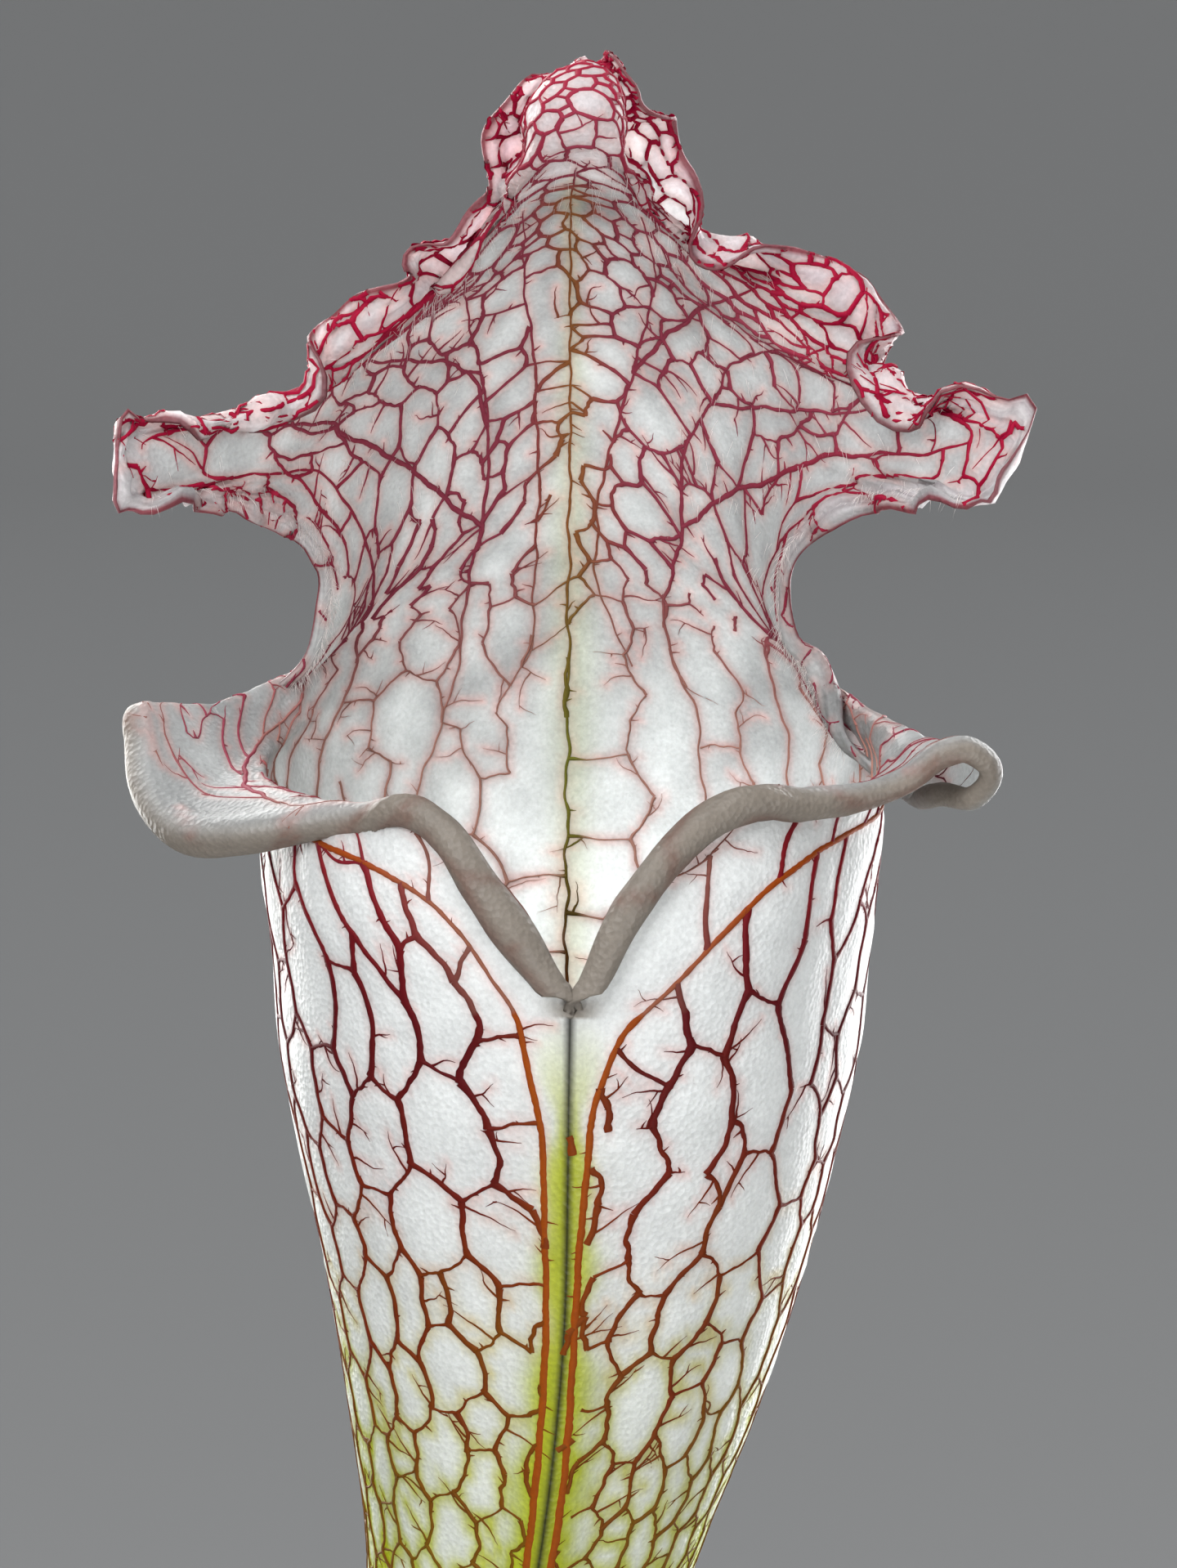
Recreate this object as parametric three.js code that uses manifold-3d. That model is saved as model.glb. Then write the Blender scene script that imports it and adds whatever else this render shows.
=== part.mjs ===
// A potted white-topped pitcher plant: one tall open pitcher, a young one, a closed spear and four flat
// sword leaves, standing in sockets of a creeping rhizome that lies in peat in a plain nursery pot.
// Millimetres, +Z up. The origin is on the table under the middle of the pot; the tall mouth faces -Y.
import * as THREE from 'three';
import { mergeVertices } from 'three/addons/utils/BufferGeometryUtils.js';
import Module from 'manifold-3d';

const wasm = await Module();
wasm.setup();

// ---- driving dimensions ----
const GAP = 0.3;                    // clearance between pieces that touch
const POT = { height: 110, topRadius: 62.5, baseRadius: 46, wall: 1.8, floor: 2.4, lip: 2.5, band: 13 };
const DRAIN = { count: 6, radius: 4.5, ring: 33 };
const SOIL_TOP = 98;
const BASE_Z = 95;                  // where the leaf bases end, inside the rhizome
const RHIZOME = { z: 94, from: -47, to: 23, radius: 9 };
const KEEL_START = 0.1;             // share of the tube below which it has no front flange

const GREEN = new THREE.MeshStandardMaterial({ color: 0x7d8f3c, roughness: 0.55, metalness: 0 });
const WHITE = new THREE.MeshStandardMaterial({ color: 0xe6e2dc, roughness: 0.5, metalness: 0 });
const SPEAR = new THREE.MeshStandardMaterial({ color: 0x8f6a48, roughness: 0.55, metalness: 0 });
const BARK = new THREE.MeshStandardMaterial({ color: 0x5b3b2a, roughness: 0.85, metalness: 0 });
const PEAT = new THREE.MeshStandardMaterial({ color: 0x33241a, roughness: 0.98, metalness: 0 });
const PLASTIC = new THREE.MeshStandardMaterial({ color: 0x23211f, roughness: 0.5, metalness: 0 });

// ---- small tools ----
const vec = (x, y, z) => new THREE.Vector3(x, y, z);
const clamp = (x, low, high) => Math.min(high, Math.max(low, x));

// A smooth curve through rows [place, value, value...], with three-point slopes.
function through(rows) {
  const gaps = rows.slice(1).map((row, i) => row[0] - rows[i][0]);
  const rises = gaps.map((gap, i) => rows[i + 1].map((value, k) => (value - rows[i][k]) / gap));
  const slopes = rows.map((row, i) => {
    if (i === 0) return rises[0];
    if (i === rows.length - 1) return rises[i - 1];
    return row.map((_, k) => (rises[i - 1][k] * gaps[i] + rises[i][k] * gaps[i - 1]) / (gaps[i] + gaps[i - 1]));
  });
  return (place) => {
    const x = clamp(place, rows[0][0], rows[rows.length - 1][0]);
    let i = 0;
    while (i < gaps.length - 1 && x > rows[i + 1][0]) i += 1;
    const t = (x - rows[i][0]) / gaps[i];
    const a = (1 + 2 * t) * (1 - t) ** 2;
    const b = t * (1 - t) ** 2 * gaps[i];
    const c = t * t * (3 - 2 * t);
    const d = t * t * (t - 1) * gaps[i];
    return rows[i].map((value, k) => a * value + b * slopes[i][k] + c * rows[i + 1][k] + d * slopes[i + 1][k]);
  };
}

// Small repeatable random numbers from a seed.
function randomFrom(seed) {
  let state = seed;
  return () => {
    state = (state * 1664525 + 1013904223) % 4294967296;
    return state / 4294967296;
  };
}

function geometryOf(points, faces) {
  const geometry = new THREE.BufferGeometry();
  geometry.setAttribute('position', new THREE.Float32BufferAttribute(points.flatMap((p) => [p.x, p.y, p.z]), 3));
  geometry.setIndex(faces.flat());
  let volume = 0;
  for (const [a, b, c] of faces) volume += points[a].dot(points[b].clone().cross(points[c])) / 6;
  if (volume < 0) geometry.setIndex(faces.flatMap(([a, b, c]) => [a, c, b]));
  return geometry;
}

// ---- between meshes and solids ----
const toSolid = (geometry) => {
  const bare = geometry.clone();
  bare.deleteAttribute('normal');
  bare.deleteAttribute('uv');
  const merged = mergeVertices(bare);
  return new wasm.Manifold(new wasm.Mesh({
    numProp: 3,
    vertProperties: new Float32Array(merged.attributes.position.array),
    triVerts: new Uint32Array(merged.index.array),
  }));
};
const toGeometry = (solid) => {
  const mesh = solid.getMesh();
  const geometry = new THREE.BufferGeometry();
  geometry.setAttribute('position', new THREE.BufferAttribute(new Float32Array(mesh.vertProperties), 3));
  geometry.setIndex(new THREE.BufferAttribute(new Uint32Array(mesh.triVerts), 1));
  return geometry;
};

// ---- the open head of a pitcher ----
// Its frame: x to the right, y away from the viewer, z up, with zero height at the notch of the lip.
// Rim from the notch to the tip: share of the way, x, y, z, turn of the margin in degrees (below zero it
// rolls outwards, above zero it folds over the inner face), width of the margin.
const LEFT_RIM = [
  [0.00, 0, -27, 0, -60, 0.9], [0.03, -2, -27, 2.8, -230, 4.4], [0.07, -4.6, -26.4, 6.4, -250, 7.2],
  [0.11, -7.3, -25.5, 10, -250, 6.6], [0.15, -10, -24, 13.8, -250, 5.6], [0.19, -13.4, -22, 15.6, -250, 5.4],
  [0.23, -17.8, -20, 15.8, -250, 5.6], [0.27, -22.5, -18, 14.6, -250, 6.2], [0.30, -27.2, -15.8, 13.5, -250, 7],
  [0.33, -31.6, -12, 13.9, -250, 7.6], [0.36, -34.4, -7, 16.2, -245, 7.2], [0.39, -35.2, -2, 18.6, -225, 6],
  [0.42, -34.6, 3, 19.4, -150, 2.6], [0.45, -31.6, 7, 18.8, -80, 1.4], [0.48, -28.6, 9.5, 19.2, -50, 1],
  [0.52, -25.1, 11, 20.9, -50, 1], [0.56, -22.2, 11.5, 23.8, -60, 1], [0.60, -20.9, 11, 28.2, -60, 1.2],
  [0.64, -20.8, 9.5, 32.2, -60, 1.2], [0.67, -22.7, 6, 35.5, -60, 1.4], [0.70, -26.1, 1, 38.4, -60, 1.8],
  [0.73, -30.4, -4, 39.7, -20, 2], [0.755, -35, -8, 40, 20, 1.6], [0.775, -36.6, -9.5, 42.2, 60, 1.4],
  [0.795, -35.6, -8.5, 44.4, 100, 1.8], [0.815, -31.7, -5, 45.6, 140, 3], [0.835, -26.3, -1.5, 46.4, 150, 3.8],
  [0.855, -21, 1.2, 48.6, 60, 2.6], [0.87, -18.8, 2.6, 50.6, -40, 1.8], [0.885, -16.6, 3.4, 52.4, -30, 1.8],
  [0.90, -13.4, 4, 54.4, 60, 3], [0.915, -10.2, 4, 56.6, 130, 4.4], [0.93, -7.4, 3, 60, 135, 4.4],
  [0.945, -5.6, 0.5, 63.8, 130, 4], [0.96, -4.2, -3, 67.6, 120, 3.4], [0.975, -3, -5, 71.2, 90, 2.4],
  [0.99, -0.6, -4.5, 74.2, 70, 1.8], [1.00, 1.3, -3.5, 75.2, 60, 1.4],
];
const RIGHT_RIM = [
  [0.00, 0, -27, 0, -60, 0.9], [0.03, 1.6, -27.2, 3, -230, 4.2], [0.07, 3.6, -26.8, 7.2, -250, 5.6],
  [0.11, 6.3, -25.8, 11, -250, 5.6], [0.15, 9.6, -24, 14.2, -250, 5.8], [0.19, 13.8, -22, 16.4, -250, 6],
  [0.23, 18.4, -20, 17.2, -250, 6], [0.27, 23.1, -17.5, 17.3, -250, 5.6], [0.30, 27.2, -15.6, 17.7, -250, 5.2],
  [0.33, 30.4, -14.2, 18.8, -250, 5.2], [0.36, 32.9, -12, 18, -250, 5.2], [0.39, 33.4, -8, 15.4, -245, 5.2],
  [0.42, 32, -4, 13.8, -200, 3.6], [0.45, 28.8, 1, 13.6, -140, 2.2], [0.48, 24.8, 5.5, 15.2, -120, 1.6],
  [0.52, 21.8, 8.5, 18, -130, 1.8], [0.55, 20.6, 10, 20.8, -160, 2.6], [0.58, 19.6, 11, 23.2, -160, 2.6],
  [0.61, 17.9, 11.5, 25.4, -100, 1.6], [0.64, 17.4, 10, 30.4, -60, 1.2], [0.67, 18.3, 6.5, 34.3, -60, 1.4],
  [0.70, 22.4, 1, 38.2, -60, 1.8], [0.73, 27.3, -4, 39.6, -20, 2], [0.755, 32.1, -8, 40, 20, 1.6],
  [0.775, 35.4, -9.5, 42.6, 60, 1.4], [0.795, 35.4, -8.5, 45.6, 100, 2], [0.815, 30.8, -5, 46.8, 140, 3],
  [0.835, 26.2, -1.5, 47.8, 150, 3.8], [0.855, 24.6, 1.5, 50, 60, 2.6], [0.87, 23.5, 3, 52.4, -50, 2.4],
  [0.885, 21.4, 3.4, 54.8, -60, 2.4], [0.90, 17.8, 4, 56.2, 30, 2.2], [0.915, 13.2, 4, 57.8, 100, 3.4],
  [0.93, 9.2, 3, 60.6, 125, 3.8], [0.945, 5.8, 0.5, 63.8, 125, 3.8], [0.96, 3.9, -3, 67.6, 110, 3.2],
  [0.975, 3, -5, 71.2, 90, 2.4], [0.99, 2.4, -4.5, 74.2, 70, 1.8], [1.00, 1.3, -3.5, 75.2, 60, 1.4],
];
// Midrib down the back and over the hood: share, x, y, z.
const MIDRIB = [
  [0, -0.3, 23.9, 0], [0.1, -0.3, 24.4, 7.5], [0.2, -0.3, 24.3, 15], [0.3, -0.3, 23.6, 22.5],
  [0.4, -0.3, 22.3, 30], [0.5, -0.3, 20.8, 37.5], [0.6, -0.3, 18.8, 44.5], [0.7, -0.3, 15.8, 51],
  [0.78, -0.3, 11.8, 56.3], [0.85, -0.3, 6.5, 60.8], [0.9, -0.2, 1, 64], [0.93, 0.2, -5, 66.3],
  [0.95, 0.5, -10, 68.3], [0.97, 0.8, -11, 71.6], [0.985, 1.1, -8, 74.4], [1, 1.3, -3.5, 75.2],
];
// How the wall goes from the midrib to the rim: share, reach of the back, reach and depth of the side, height
// of the left and of the right side, share of the drop to the side that the back already has.
const WALL = [
  [0, 32.4, 32.4, -27, 0, 0, 0], [0.07, 32, 33, -26, 6.4, 7, 0.12], [0.15, 31.5, 32.5, -20, 12.6, 13.2, 0.25],
  [0.23, 30.8, 30, -12, 15.6, 15.8, 0.35], [0.3, 28.5, 26.5, -5, 16.6, 16.6, 0.45],
  [0.36, 25.4, 26.5, 0, 17.8, 17.2, 0.55], [0.42, 23, 26, 5.5, 19, 17.8, 0.55],
  [0.48, 19.6, 23.5, 11.5, 20.4, 18.6, 0.55], [0.56, 15, 18.5, 15.5, 24.6, 22.6, 0.45],
  [0.62, 12.6, 16.5, 15, 30.8, 29, 0.3], [0.67, 11.8, 17, 12.5, 36, 35.6, 0.15],
  [0.72, 11.4, 19, 9, 40.2, 40.2, 0.08], [0.78, 11.1, 20, 6, 43.4, 44, 0.1], [0.84, 10, 16, 6, 47.4, 48.6, 0.15],
  [0.87, 9, 12.5, 6, 50.4, 52.4, 0.2], [0.9, 8, 9.8, 5, 55, 56.4, 0.15], [0.93, 6, 6, 1, 60.4, 60.8, 0.05],
  [0.95, 4.5, 4.5, -4, 63.4, 63.6, 0], [0.97, 4, 3.5, -6, 67.6, 67.6, 0], [0.985, 3, 2.5, -5.5, 72, 72, 0],
  [1, 0.3, 0.3, -3.5, 75.2, 75.2, 0],
];
const MOUTH = { x: -0.3, y: -1.55, radius: 24.3, depth: 25.45 };
const leftRim = through(LEFT_RIM);
const rightRim = through(RIGHT_RIM);
const midrib = through(MIDRIB);
const wall = through(WALL);

function bezier(a, b, c, d, t) {
  const s = 1 - t;
  return vec(0, 0, 0).addScaledVector(a, s ** 3).addScaledVector(b, 3 * s * s * t)
    .addScaledVector(c, 3 * s * t * t).addScaledVector(d, t ** 3);
}

// A point of the head's wall: v from the notch's height (0) to the tip (1), c from the left rim (-1) over
// the midrib (0) to the right rim (1).
function headPoint(v, c) {
  const [, mx, my, mz] = midrib(v);
  const [, reach, side, depth, leftHeight, rightHeight, drop] = wall(v);
  const [, rx, ry, rz] = (c < 0 ? leftRim : rightRim)(v);
  const sign = c < 0 ? -1 : 1;
  const height = c < 0 ? leftHeight : rightHeight;
  const back = vec(mx, my, mz);
  const handle = vec(mx + sign * reach, my, mz - drop * (mz - height));
  const pull = vec(MOUTH.x + sign * side, depth, height);
  return bezier(back, handle, pull, vec(rx, ry, rz), Math.abs(c));
}

// The rim's frame: where it is, the way out of the sheet's edge, and the outer side's normal.
function rimFrame(sign, v) {
  const step = 0.004;
  const w = clamp(v, step, 1 - 3 * step);
  const along = headPoint(w + step, sign).sub(headPoint(w - step, sign)).normalize();
  const across = headPoint(w, sign).sub(headPoint(w, sign * 0.98)).normalize();
  const normal = along.clone().cross(across).multiplyScalar(sign).normalize();
  const out = along.clone().cross(normal).normalize();
  if (out.dot(across) < 0) out.negate();
  return { at: headPoint(v, sign), out, normal };
}

// A point of the margin that is swept along the rim, bent to an arc: share t of its width.
function marginPoint(frame, turn, width, t) {
  const angle = THREE.MathUtils.degToRad(Math.abs(turn) < 2 ? 2 : turn);
  const radius = width / angle;
  return frame.at.clone().addScaledVector(frame.out, radius * Math.sin(angle * t))
    .addScaledVector(frame.normal, -radius * (1 - Math.cos(angle * t)));
}

// Gives a sheet its thickness: both faces keep the same triangles, and open edges are closed. ridge is how
// far each point of the outer face stands out further.
function thicken(points, faces, thickness, ridge) {
  const normals = points.map(() => vec(0, 0, 0));
  for (const [a, b, c] of faces) {
    const cross = points[b].clone().sub(points[a]).cross(points[c].clone().sub(points[a]));
    for (const corner of [a, b, c]) normals[corner].add(cross);
  }
  normals.forEach((normal) => normal.normalize());
  const count = points.length;
  const outer = points.map((p, i) => p.clone().addScaledVector(normals[i], thickness / 2 + (ridge[i] || 0)));
  const inner = points.map((p, i) => p.clone().addScaledVector(normals[i], -thickness / 2));
  const all = faces.concat(faces.map(([a, b, c]) => [a + count, c + count, b + count]));
  const used = new Set(faces.flatMap(([a, b, c]) => [`${a},${b}`, `${b},${c}`, `${c},${a}`]));
  for (const edge of used) {
    const [a, b] = edge.split(',').map(Number);
    if (!used.has(`${b},${a}`)) all.push([a, a + count, b + count], [a, b + count, b]);
  }
  return geometryOf(outer.concat(inner), all);
}

// A whole pitcher as one thick sheet. size scales the head; tube rows are z, x, y, radius below the notch;
// keel gives the height of the front flange for a share of the tube from its foot to the notch.
function pitcherGeometry({ size, tube, tubeRows, headRows, columns, steps, keel, thickness, stand }) {
  const shape = through(tube);
  const shares = Array.from({ length: columns }, (_, k) => k / columns).concat([0.975, 1]);
  const across = shares.slice(1).reverse().map((t) => -t).concat(shares);
  const last = across.length - 1;
  const points = [];
  const faces = [];
  const ridge = [];
  const add = (point) => points.push(point) - 1;
  const rows = [];
  const foot = tube[0][0];
  for (let i = 0; i < tubeRows; i += 1) {
    const share = i / tubeRows;
    const z = foot * (1 - share) ** 1.35;
    const [, x, y, radius] = shape(z);
    const deep = radius * (MOUTH.depth / MOUTH.radius);
    const reach = (4 / 3) * radius;
    const row = across.slice(0, last).map((c) => {
      const sign = c < 0 ? -1 : 1;
      return add(bezier(vec(x, y + deep, z), vec(x + sign * reach, y + deep, z),
        vec(x + sign * reach, y - deep, z), vec(x, y - deep, z), Math.abs(c)));
    });
    row.push(row[0]);
    ridge[row[0]] = keel * Math.sin(Math.PI * clamp((share - KEEL_START) / (1 - KEEL_START), 0, 1) ** 0.8);
    rows.push(row);
  }
  const knots = LEFT_RIM.length - 1;
  const vOf = (i) => {
    const place = (i / headRows) * knots;
    const k = Math.min(knots - 1, Math.floor(place));
    return THREE.MathUtils.lerp(LEFT_RIM[k][0], LEFT_RIM[k + 1][0], place - k);
  };
  for (let i = 0; i < headRows; i += 1) {
    const row = across.map((c, k) => (i === 0 && k === last ? null : headPoint(vOf(i), c).multiplyScalar(size)));
    const ids = row.map((point) => (point ? add(point) : null));
    if (i === 0) ids[last] = ids[0];
    rows.push(ids);
  }
  for (let r = 1; r < rows.length; r += 1) {
    for (let k = 0; k < last; k += 1) {
      const [a, b, c, d] = [rows[r - 1][k], rows[r - 1][k + 1], rows[r][k + 1], rows[r][k]];
      faces.push([a, c, b], [a, d, c]);
    }
  }
  const tip = add(headPoint(1, 1).multiplyScalar(size));
  const top = rows[rows.length - 1];
  for (let k = 0; k < last; k += 1) faces.push([top[k], tip, top[k + 1]]);
  const heel = add(vec(tube[0][1], tube[0][2], foot));
  for (let k = 0; k < last; k += 1) faces.push([rows[0][k], rows[0][k + 1], heel]);

  // The margin runs from the notch up the right rim, round the tip and down the left rim.
  const stations = [];
  for (let i = 0; i < headRows; i += 1) {
    stations.push({ base: rows[tubeRows + i][last], sign: 1, v: vOf(i) });
  }
  stations.push({ base: tip, sign: 0, v: 1 });
  for (let i = headRows - 1; i >= 0; i -= 1) {
    stations.push({ base: rows[tubeRows + i][0], sign: -1, v: vOf(i) });
  }
  let before = null;
  for (const { base, sign, v } of stations) {
    const [, , , , turn, width] = (sign < 0 ? leftRim : rightRim)(v);
    let frame = rimFrame(sign || 1, v);
    if (sign === 0) {
      const other = rimFrame(-1, v);
      const out = frame.out.add(other.out).normalize();
      const normal = frame.normal.add(other.normal);
      frame = { at: frame.at, out, normal: normal.addScaledVector(out, -normal.dot(out)).normalize() };
    }
    const line = [base];
    for (let s = 1; s <= steps; s += 1) {
      line.push(add(marginPoint(frame, turn, width, s / steps).multiplyScalar(size)));
    }
    if (before) {
      for (let s = 0; s < steps; s += 1) {
        if (before[s] !== line[s]) faces.push([before[s], line[s], line[s + 1]]);
        faces.push([before[s], line[s + 1], before[s + 1]]);
      }
    }
    before = line;
  }
  return thicken(points.map((point) => point.applyMatrix4(stand)), faces, thickness, ridge);
}

// ---- leaves without an open head ----
// A closed form through rings along a path: ring(share) gives its outline in the plane across the path,
// as [sideways, through] pairs; side is the direction of sideways before it is squared to the path.
function loft(path, side, rings, ring) {
  const points = [];
  const faces = [];
  let size = 0;
  for (let i = 0; i <= rings; i += 1) {
    const share = i / rings;
    const at = path.getPointAt(share);
    const along = path.getTangentAt(share);
    const sideways = side(share).addScaledVector(along, -side(share).dot(along)).normalize();
    const crossways = along.clone().cross(sideways);
    const outline = ring(share);
    size = outline.length;
    for (const [u, w] of outline) {
      points.push(at.clone().addScaledVector(sideways, u).addScaledVector(crossways, w));
    }
  }
  for (let i = 1; i <= rings; i += 1) {
    for (let k = 0; k < size; k += 1) {
      const next = (k + 1) % size;
      const [a, b, c, d] = [(i - 1) * size + k, (i - 1) * size + next, i * size + next, i * size + k];
      faces.push([a, b, c], [a, c, d]);
    }
  }
  const first = points.push(path.getPointAt(0)) - 1;
  const end = points.push(path.getPointAt(1)) - 1;
  for (let k = 0; k < size; k += 1) {
    const next = (k + 1) % size;
    faces.push([first, next, k], [end, rings * size + k, rings * size + next]);
  }
  return geometryOf(points, faces);
}

const pathThrough = (rows) => (
  new THREE.CatmullRomCurve3(rows.map(([x, y, z]) => vec(x, y, z)), false, 'centripetal')
);
const oval = (count, u, w) => Array.from({ length: count }, (_, k) => {
  const angle = (2 * Math.PI * k) / count;
  return [u * Math.cos(angle), w * Math.sin(angle)];
});

// A sword leaf: round at its foot, then a flat blade with a thick middle and a slight fold.
const SWORD_WIDTH = through([
  [0, 1.9], [0.1, 1.9], [0.25, 3.2], [0.45, 6.2], [0.65, 8], [0.82, 6.6], [0.94, 3], [1, 0.7],
]);
const SWORD_DEPTH = through([[0, 1.9], [0.1, 1.8], [0.25, 1.4], [0.5, 1.1], [0.9, 0.8], [1, 0.5]]);
function swordLeaf(rows, turn, scale) {
  const facing = (share) => vec(Math.cos(turn + 0.5 * share), Math.sin(turn + 0.5 * share), 0);
  const ring = (share) => {
    const width = SWORD_WIDTH(share)[1] * (share < 0.12 ? 1 : scale);
    const depth = SWORD_DEPTH(share)[1];
    const flat = clamp((share - 0.1) / 0.25, 0, 1);
    return oval(10, width, 1).map(([u, w]) => {
      const near = Math.abs(u) / width;
      const half = depth * THREE.MathUtils.lerp(Math.sqrt(Math.max(0, 1 - near * near)), 1 - 0.62 * near, flat);
      const edge = near > 0.999 ? 0 : Math.sign(w) * Math.max(half, 0.3 * flat);
      return [u, edge + flat * 0.16 * Math.abs(u)];
    });
  };
  return loft(pathThrough(rows), facing, 16, ring);
}

// The spear: a pitcher still closed, a flattened tube with a swollen tip and a short beak.
const SPEAR_WIDTH = through([
  [0, 1.9], [0.1, 1.9], [0.35, 3], [0.6, 4.6], [0.78, 6.2], [0.88, 6.6], [0.95, 4.4], [1, 0.6],
]);
function spear(rows) {
  const ring = (share) => {
    const width = SPEAR_WIDTH(share)[1];
    return oval(10, width * (share < 0.12 ? 1 : 0.72), width);
  };
  return loft(pathThrough(rows), () => vec(1, 0.4, 0), 14, ring);
}

// ---- rhizome, peat and pot ----
// An upright cylinder from one height to another, for cutting holes.
function post(x, y, low, high, radius, sides) {
  const geometry = new THREE.CylinderGeometry(radius, radius, high - low, sides);
  return geometry.rotateX(Math.PI / 2).translate(x, y, (low + high) / 2);
}

// The rhizome creeps along X under the surface; growth rings swell it. grow widens it for its own hollow.
function rhizomeGeometry(grow) {
  const { z, from, to } = RHIZOME;
  const path = new THREE.LineCurve3(vec(from - grow, 0, z), vec(to + grow, 0, z));
  const body = through([[0, 0.25], [0.05, 0.62], [0.14, 0.86], [0.5, 0.97], [0.86, 1], [0.96, 0.72], [1, 0.3]]);
  return loft(path, () => vec(0, 1, 0), 20, (share) => {
    const rings = 1 + 0.035 * Math.sin(share * 20 * Math.PI / 2);
    const radius = RHIZOME.radius * body(share)[1] * rings + grow;
    return oval(12, radius, radius);
  });
}

// Peat fills the pot to just under its lip, with a low uneven top.
function peatGeometry() {
  const inset = POT.wall + GAP;
  const slope = (POT.topRadius - POT.baseRadius) / POT.height;
  const low = POT.floor + GAP;
  const radiusAt = (z) => POT.baseRadius + slope * z - inset;
  const profile = [[0, low], [radiusAt(low), low], [radiusAt(SOIL_TOP - 1), SOIL_TOP - 1]];
  for (const share of [0.86, 0.7, 0.52, 0.34, 0.16]) profile.push([radiusAt(SOIL_TOP) * share, SOIL_TOP]);
  profile.push([0, SOIL_TOP]);
  const lathe = new THREE.LatheGeometry(profile.map(([x, y]) => new THREE.Vector2(x, y)), 30);
  lathe.rotateX(Math.PI / 2);
  lathe.deleteAttribute('normal');
  lathe.deleteAttribute('uv');
  const merged = mergeVertices(lathe);
  const spot = merged.attributes.position;
  const next = randomFrom(7);
  for (let i = 0; i < spot.count; i += 1) {
    const lift = next() * 1.6 - 0.8;
    if (spot.getZ(i) > SOIL_TOP - 0.5) spot.setZ(i, spot.getZ(i) + lift);
  }
  return merged;
}

// Tapered pot with a collar at the top and holes in its floor.
function potGeometry() {
  const { height, topRadius, baseRadius, wall: side, floor, lip, band } = POT;
  const slope = (topRadius - baseRadius) / height;
  const at = (z) => baseRadius + slope * z;
  const profile = [
    [0, 0], [baseRadius - 1, 0], [baseRadius, 1], [at(height - band), height - band],
    [at(height - band) + lip, height - band + 1], [at(height) + lip, height - 1], [at(height) + lip - 1, height],
    [at(height) - side, height], [at(floor) - side, floor], [0, floor],
  ];
  const body = new THREE.LatheGeometry(profile.map(([x, y]) => new THREE.Vector2(x, y)), 48);
  body.rotateX(Math.PI / 2);
  let solid = toSolid(body);
  for (let i = 0; i < DRAIN.count; i += 1) {
    const angle = (2 * Math.PI * (i + 0.5)) / DRAIN.count;
    const x = DRAIN.ring * Math.cos(angle);
    const y = DRAIN.ring * Math.sin(angle);
    solid = solid.subtract(toSolid(post(x, y, -1, floor + 1, DRAIN.radius, 12)));
  }
  return toGeometry(solid);
}

// ---- where each leaf stands: x and y of its foot, radius of its foot ----
const FOOT = {
  pitcher: [0, 0, 3.7], young_pitcher: [-11, 2.5, 3], spear: [9, 1, 1.9],
  phyllode_1: [-19, -3, 1.9], phyllode_2: [-26.5, 3, 1.9], phyllode_3: [-35, -1.5, 1.9],
  phyllode_4: [16.5, 2, 1.9],
};
const SOCKET_SPARE = 0.45;

const group = new THREE.Group();
function place(name, geometry, material) {
  const mesh = new THREE.Mesh(geometry, material);
  mesh.name = name;
  group.add(mesh);
  return mesh;
}

// Where a pitcher stands: its foot in its socket, its head turned about the upright.
function standOn([x, y], { lean, foot, turn }) {
  const angle = THREE.MathUtils.degToRad(turn);
  const shift = vec(...lean, 0).applyAxisAngle(vec(0, 0, 1), angle);
  return new THREE.Matrix4().makeRotationZ(angle).setPosition(x - shift.x, y - shift.y, BASE_Z - foot);
}

// The tall pitcher leans: its foot is left of and behind its mouth.
const TALL = { lean: [-24, 8], foot: -405, turn: 0 };
place('pitcher', pitcherGeometry({
  size: 1, thickness: 0.9, columns: 11, headRows: 37, tubeRows: 10, steps: 4, keel: 4,
  stand: standOn(FOOT.pitcher, TALL),
  tube: [
    [TALL.foot, ...TALL.lean, 3], [-390, ...TALL.lean, 3.1], [-300, -22.5, 7.5, 4.4], [-200, -19, 6, 6.6],
    [-150, -15.5, 4.5, 8], [-100, -10.4, 2.6, 10], [-70, -6.8, 1.4, 11.8], [-50, -3.4, 0.4, 13.9],
    [-38, -1.8, 0, 16.9], [-26, -0.8, -0.6, 19.7], [-14, -0.5, -1.2, 22.4], [-6, -0.4, -1.4, 23.9],
    [0, MOUTH.x, MOUTH.y, MOUTH.radius],
  ],
}), WHITE);

// The young one is a smaller, lower pitcher, turned a little to the left.
const YOUNG = { size: 0.62, lean: [22, 5], foot: -235, turn: -30 };
place('young_pitcher', pitcherGeometry({
  size: YOUNG.size, thickness: 0.7, columns: 7, headRows: 25, tubeRows: 7, steps: 2, keel: 2.5,
  stand: standOn(FOOT.young_pitcher, YOUNG),
  tube: [
    [YOUNG.foot, ...YOUNG.lean, 2.3], [-222, ...YOUNG.lean, 2.4], [-170, 20, 4.2, 3.4], [-110, 14, 3, 5.2],
    [-70, 8.5, 1.5, 6.8], [-40, 3.5, 0, 9], [-18, 0.6, -0.7, 12.4], [-7, 0, -0.9, 14.5],
    [0, MOUTH.x * YOUNG.size, MOUTH.y * YOUNG.size, MOUTH.radius * YOUNG.size],
  ],
}), WHITE);

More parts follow.
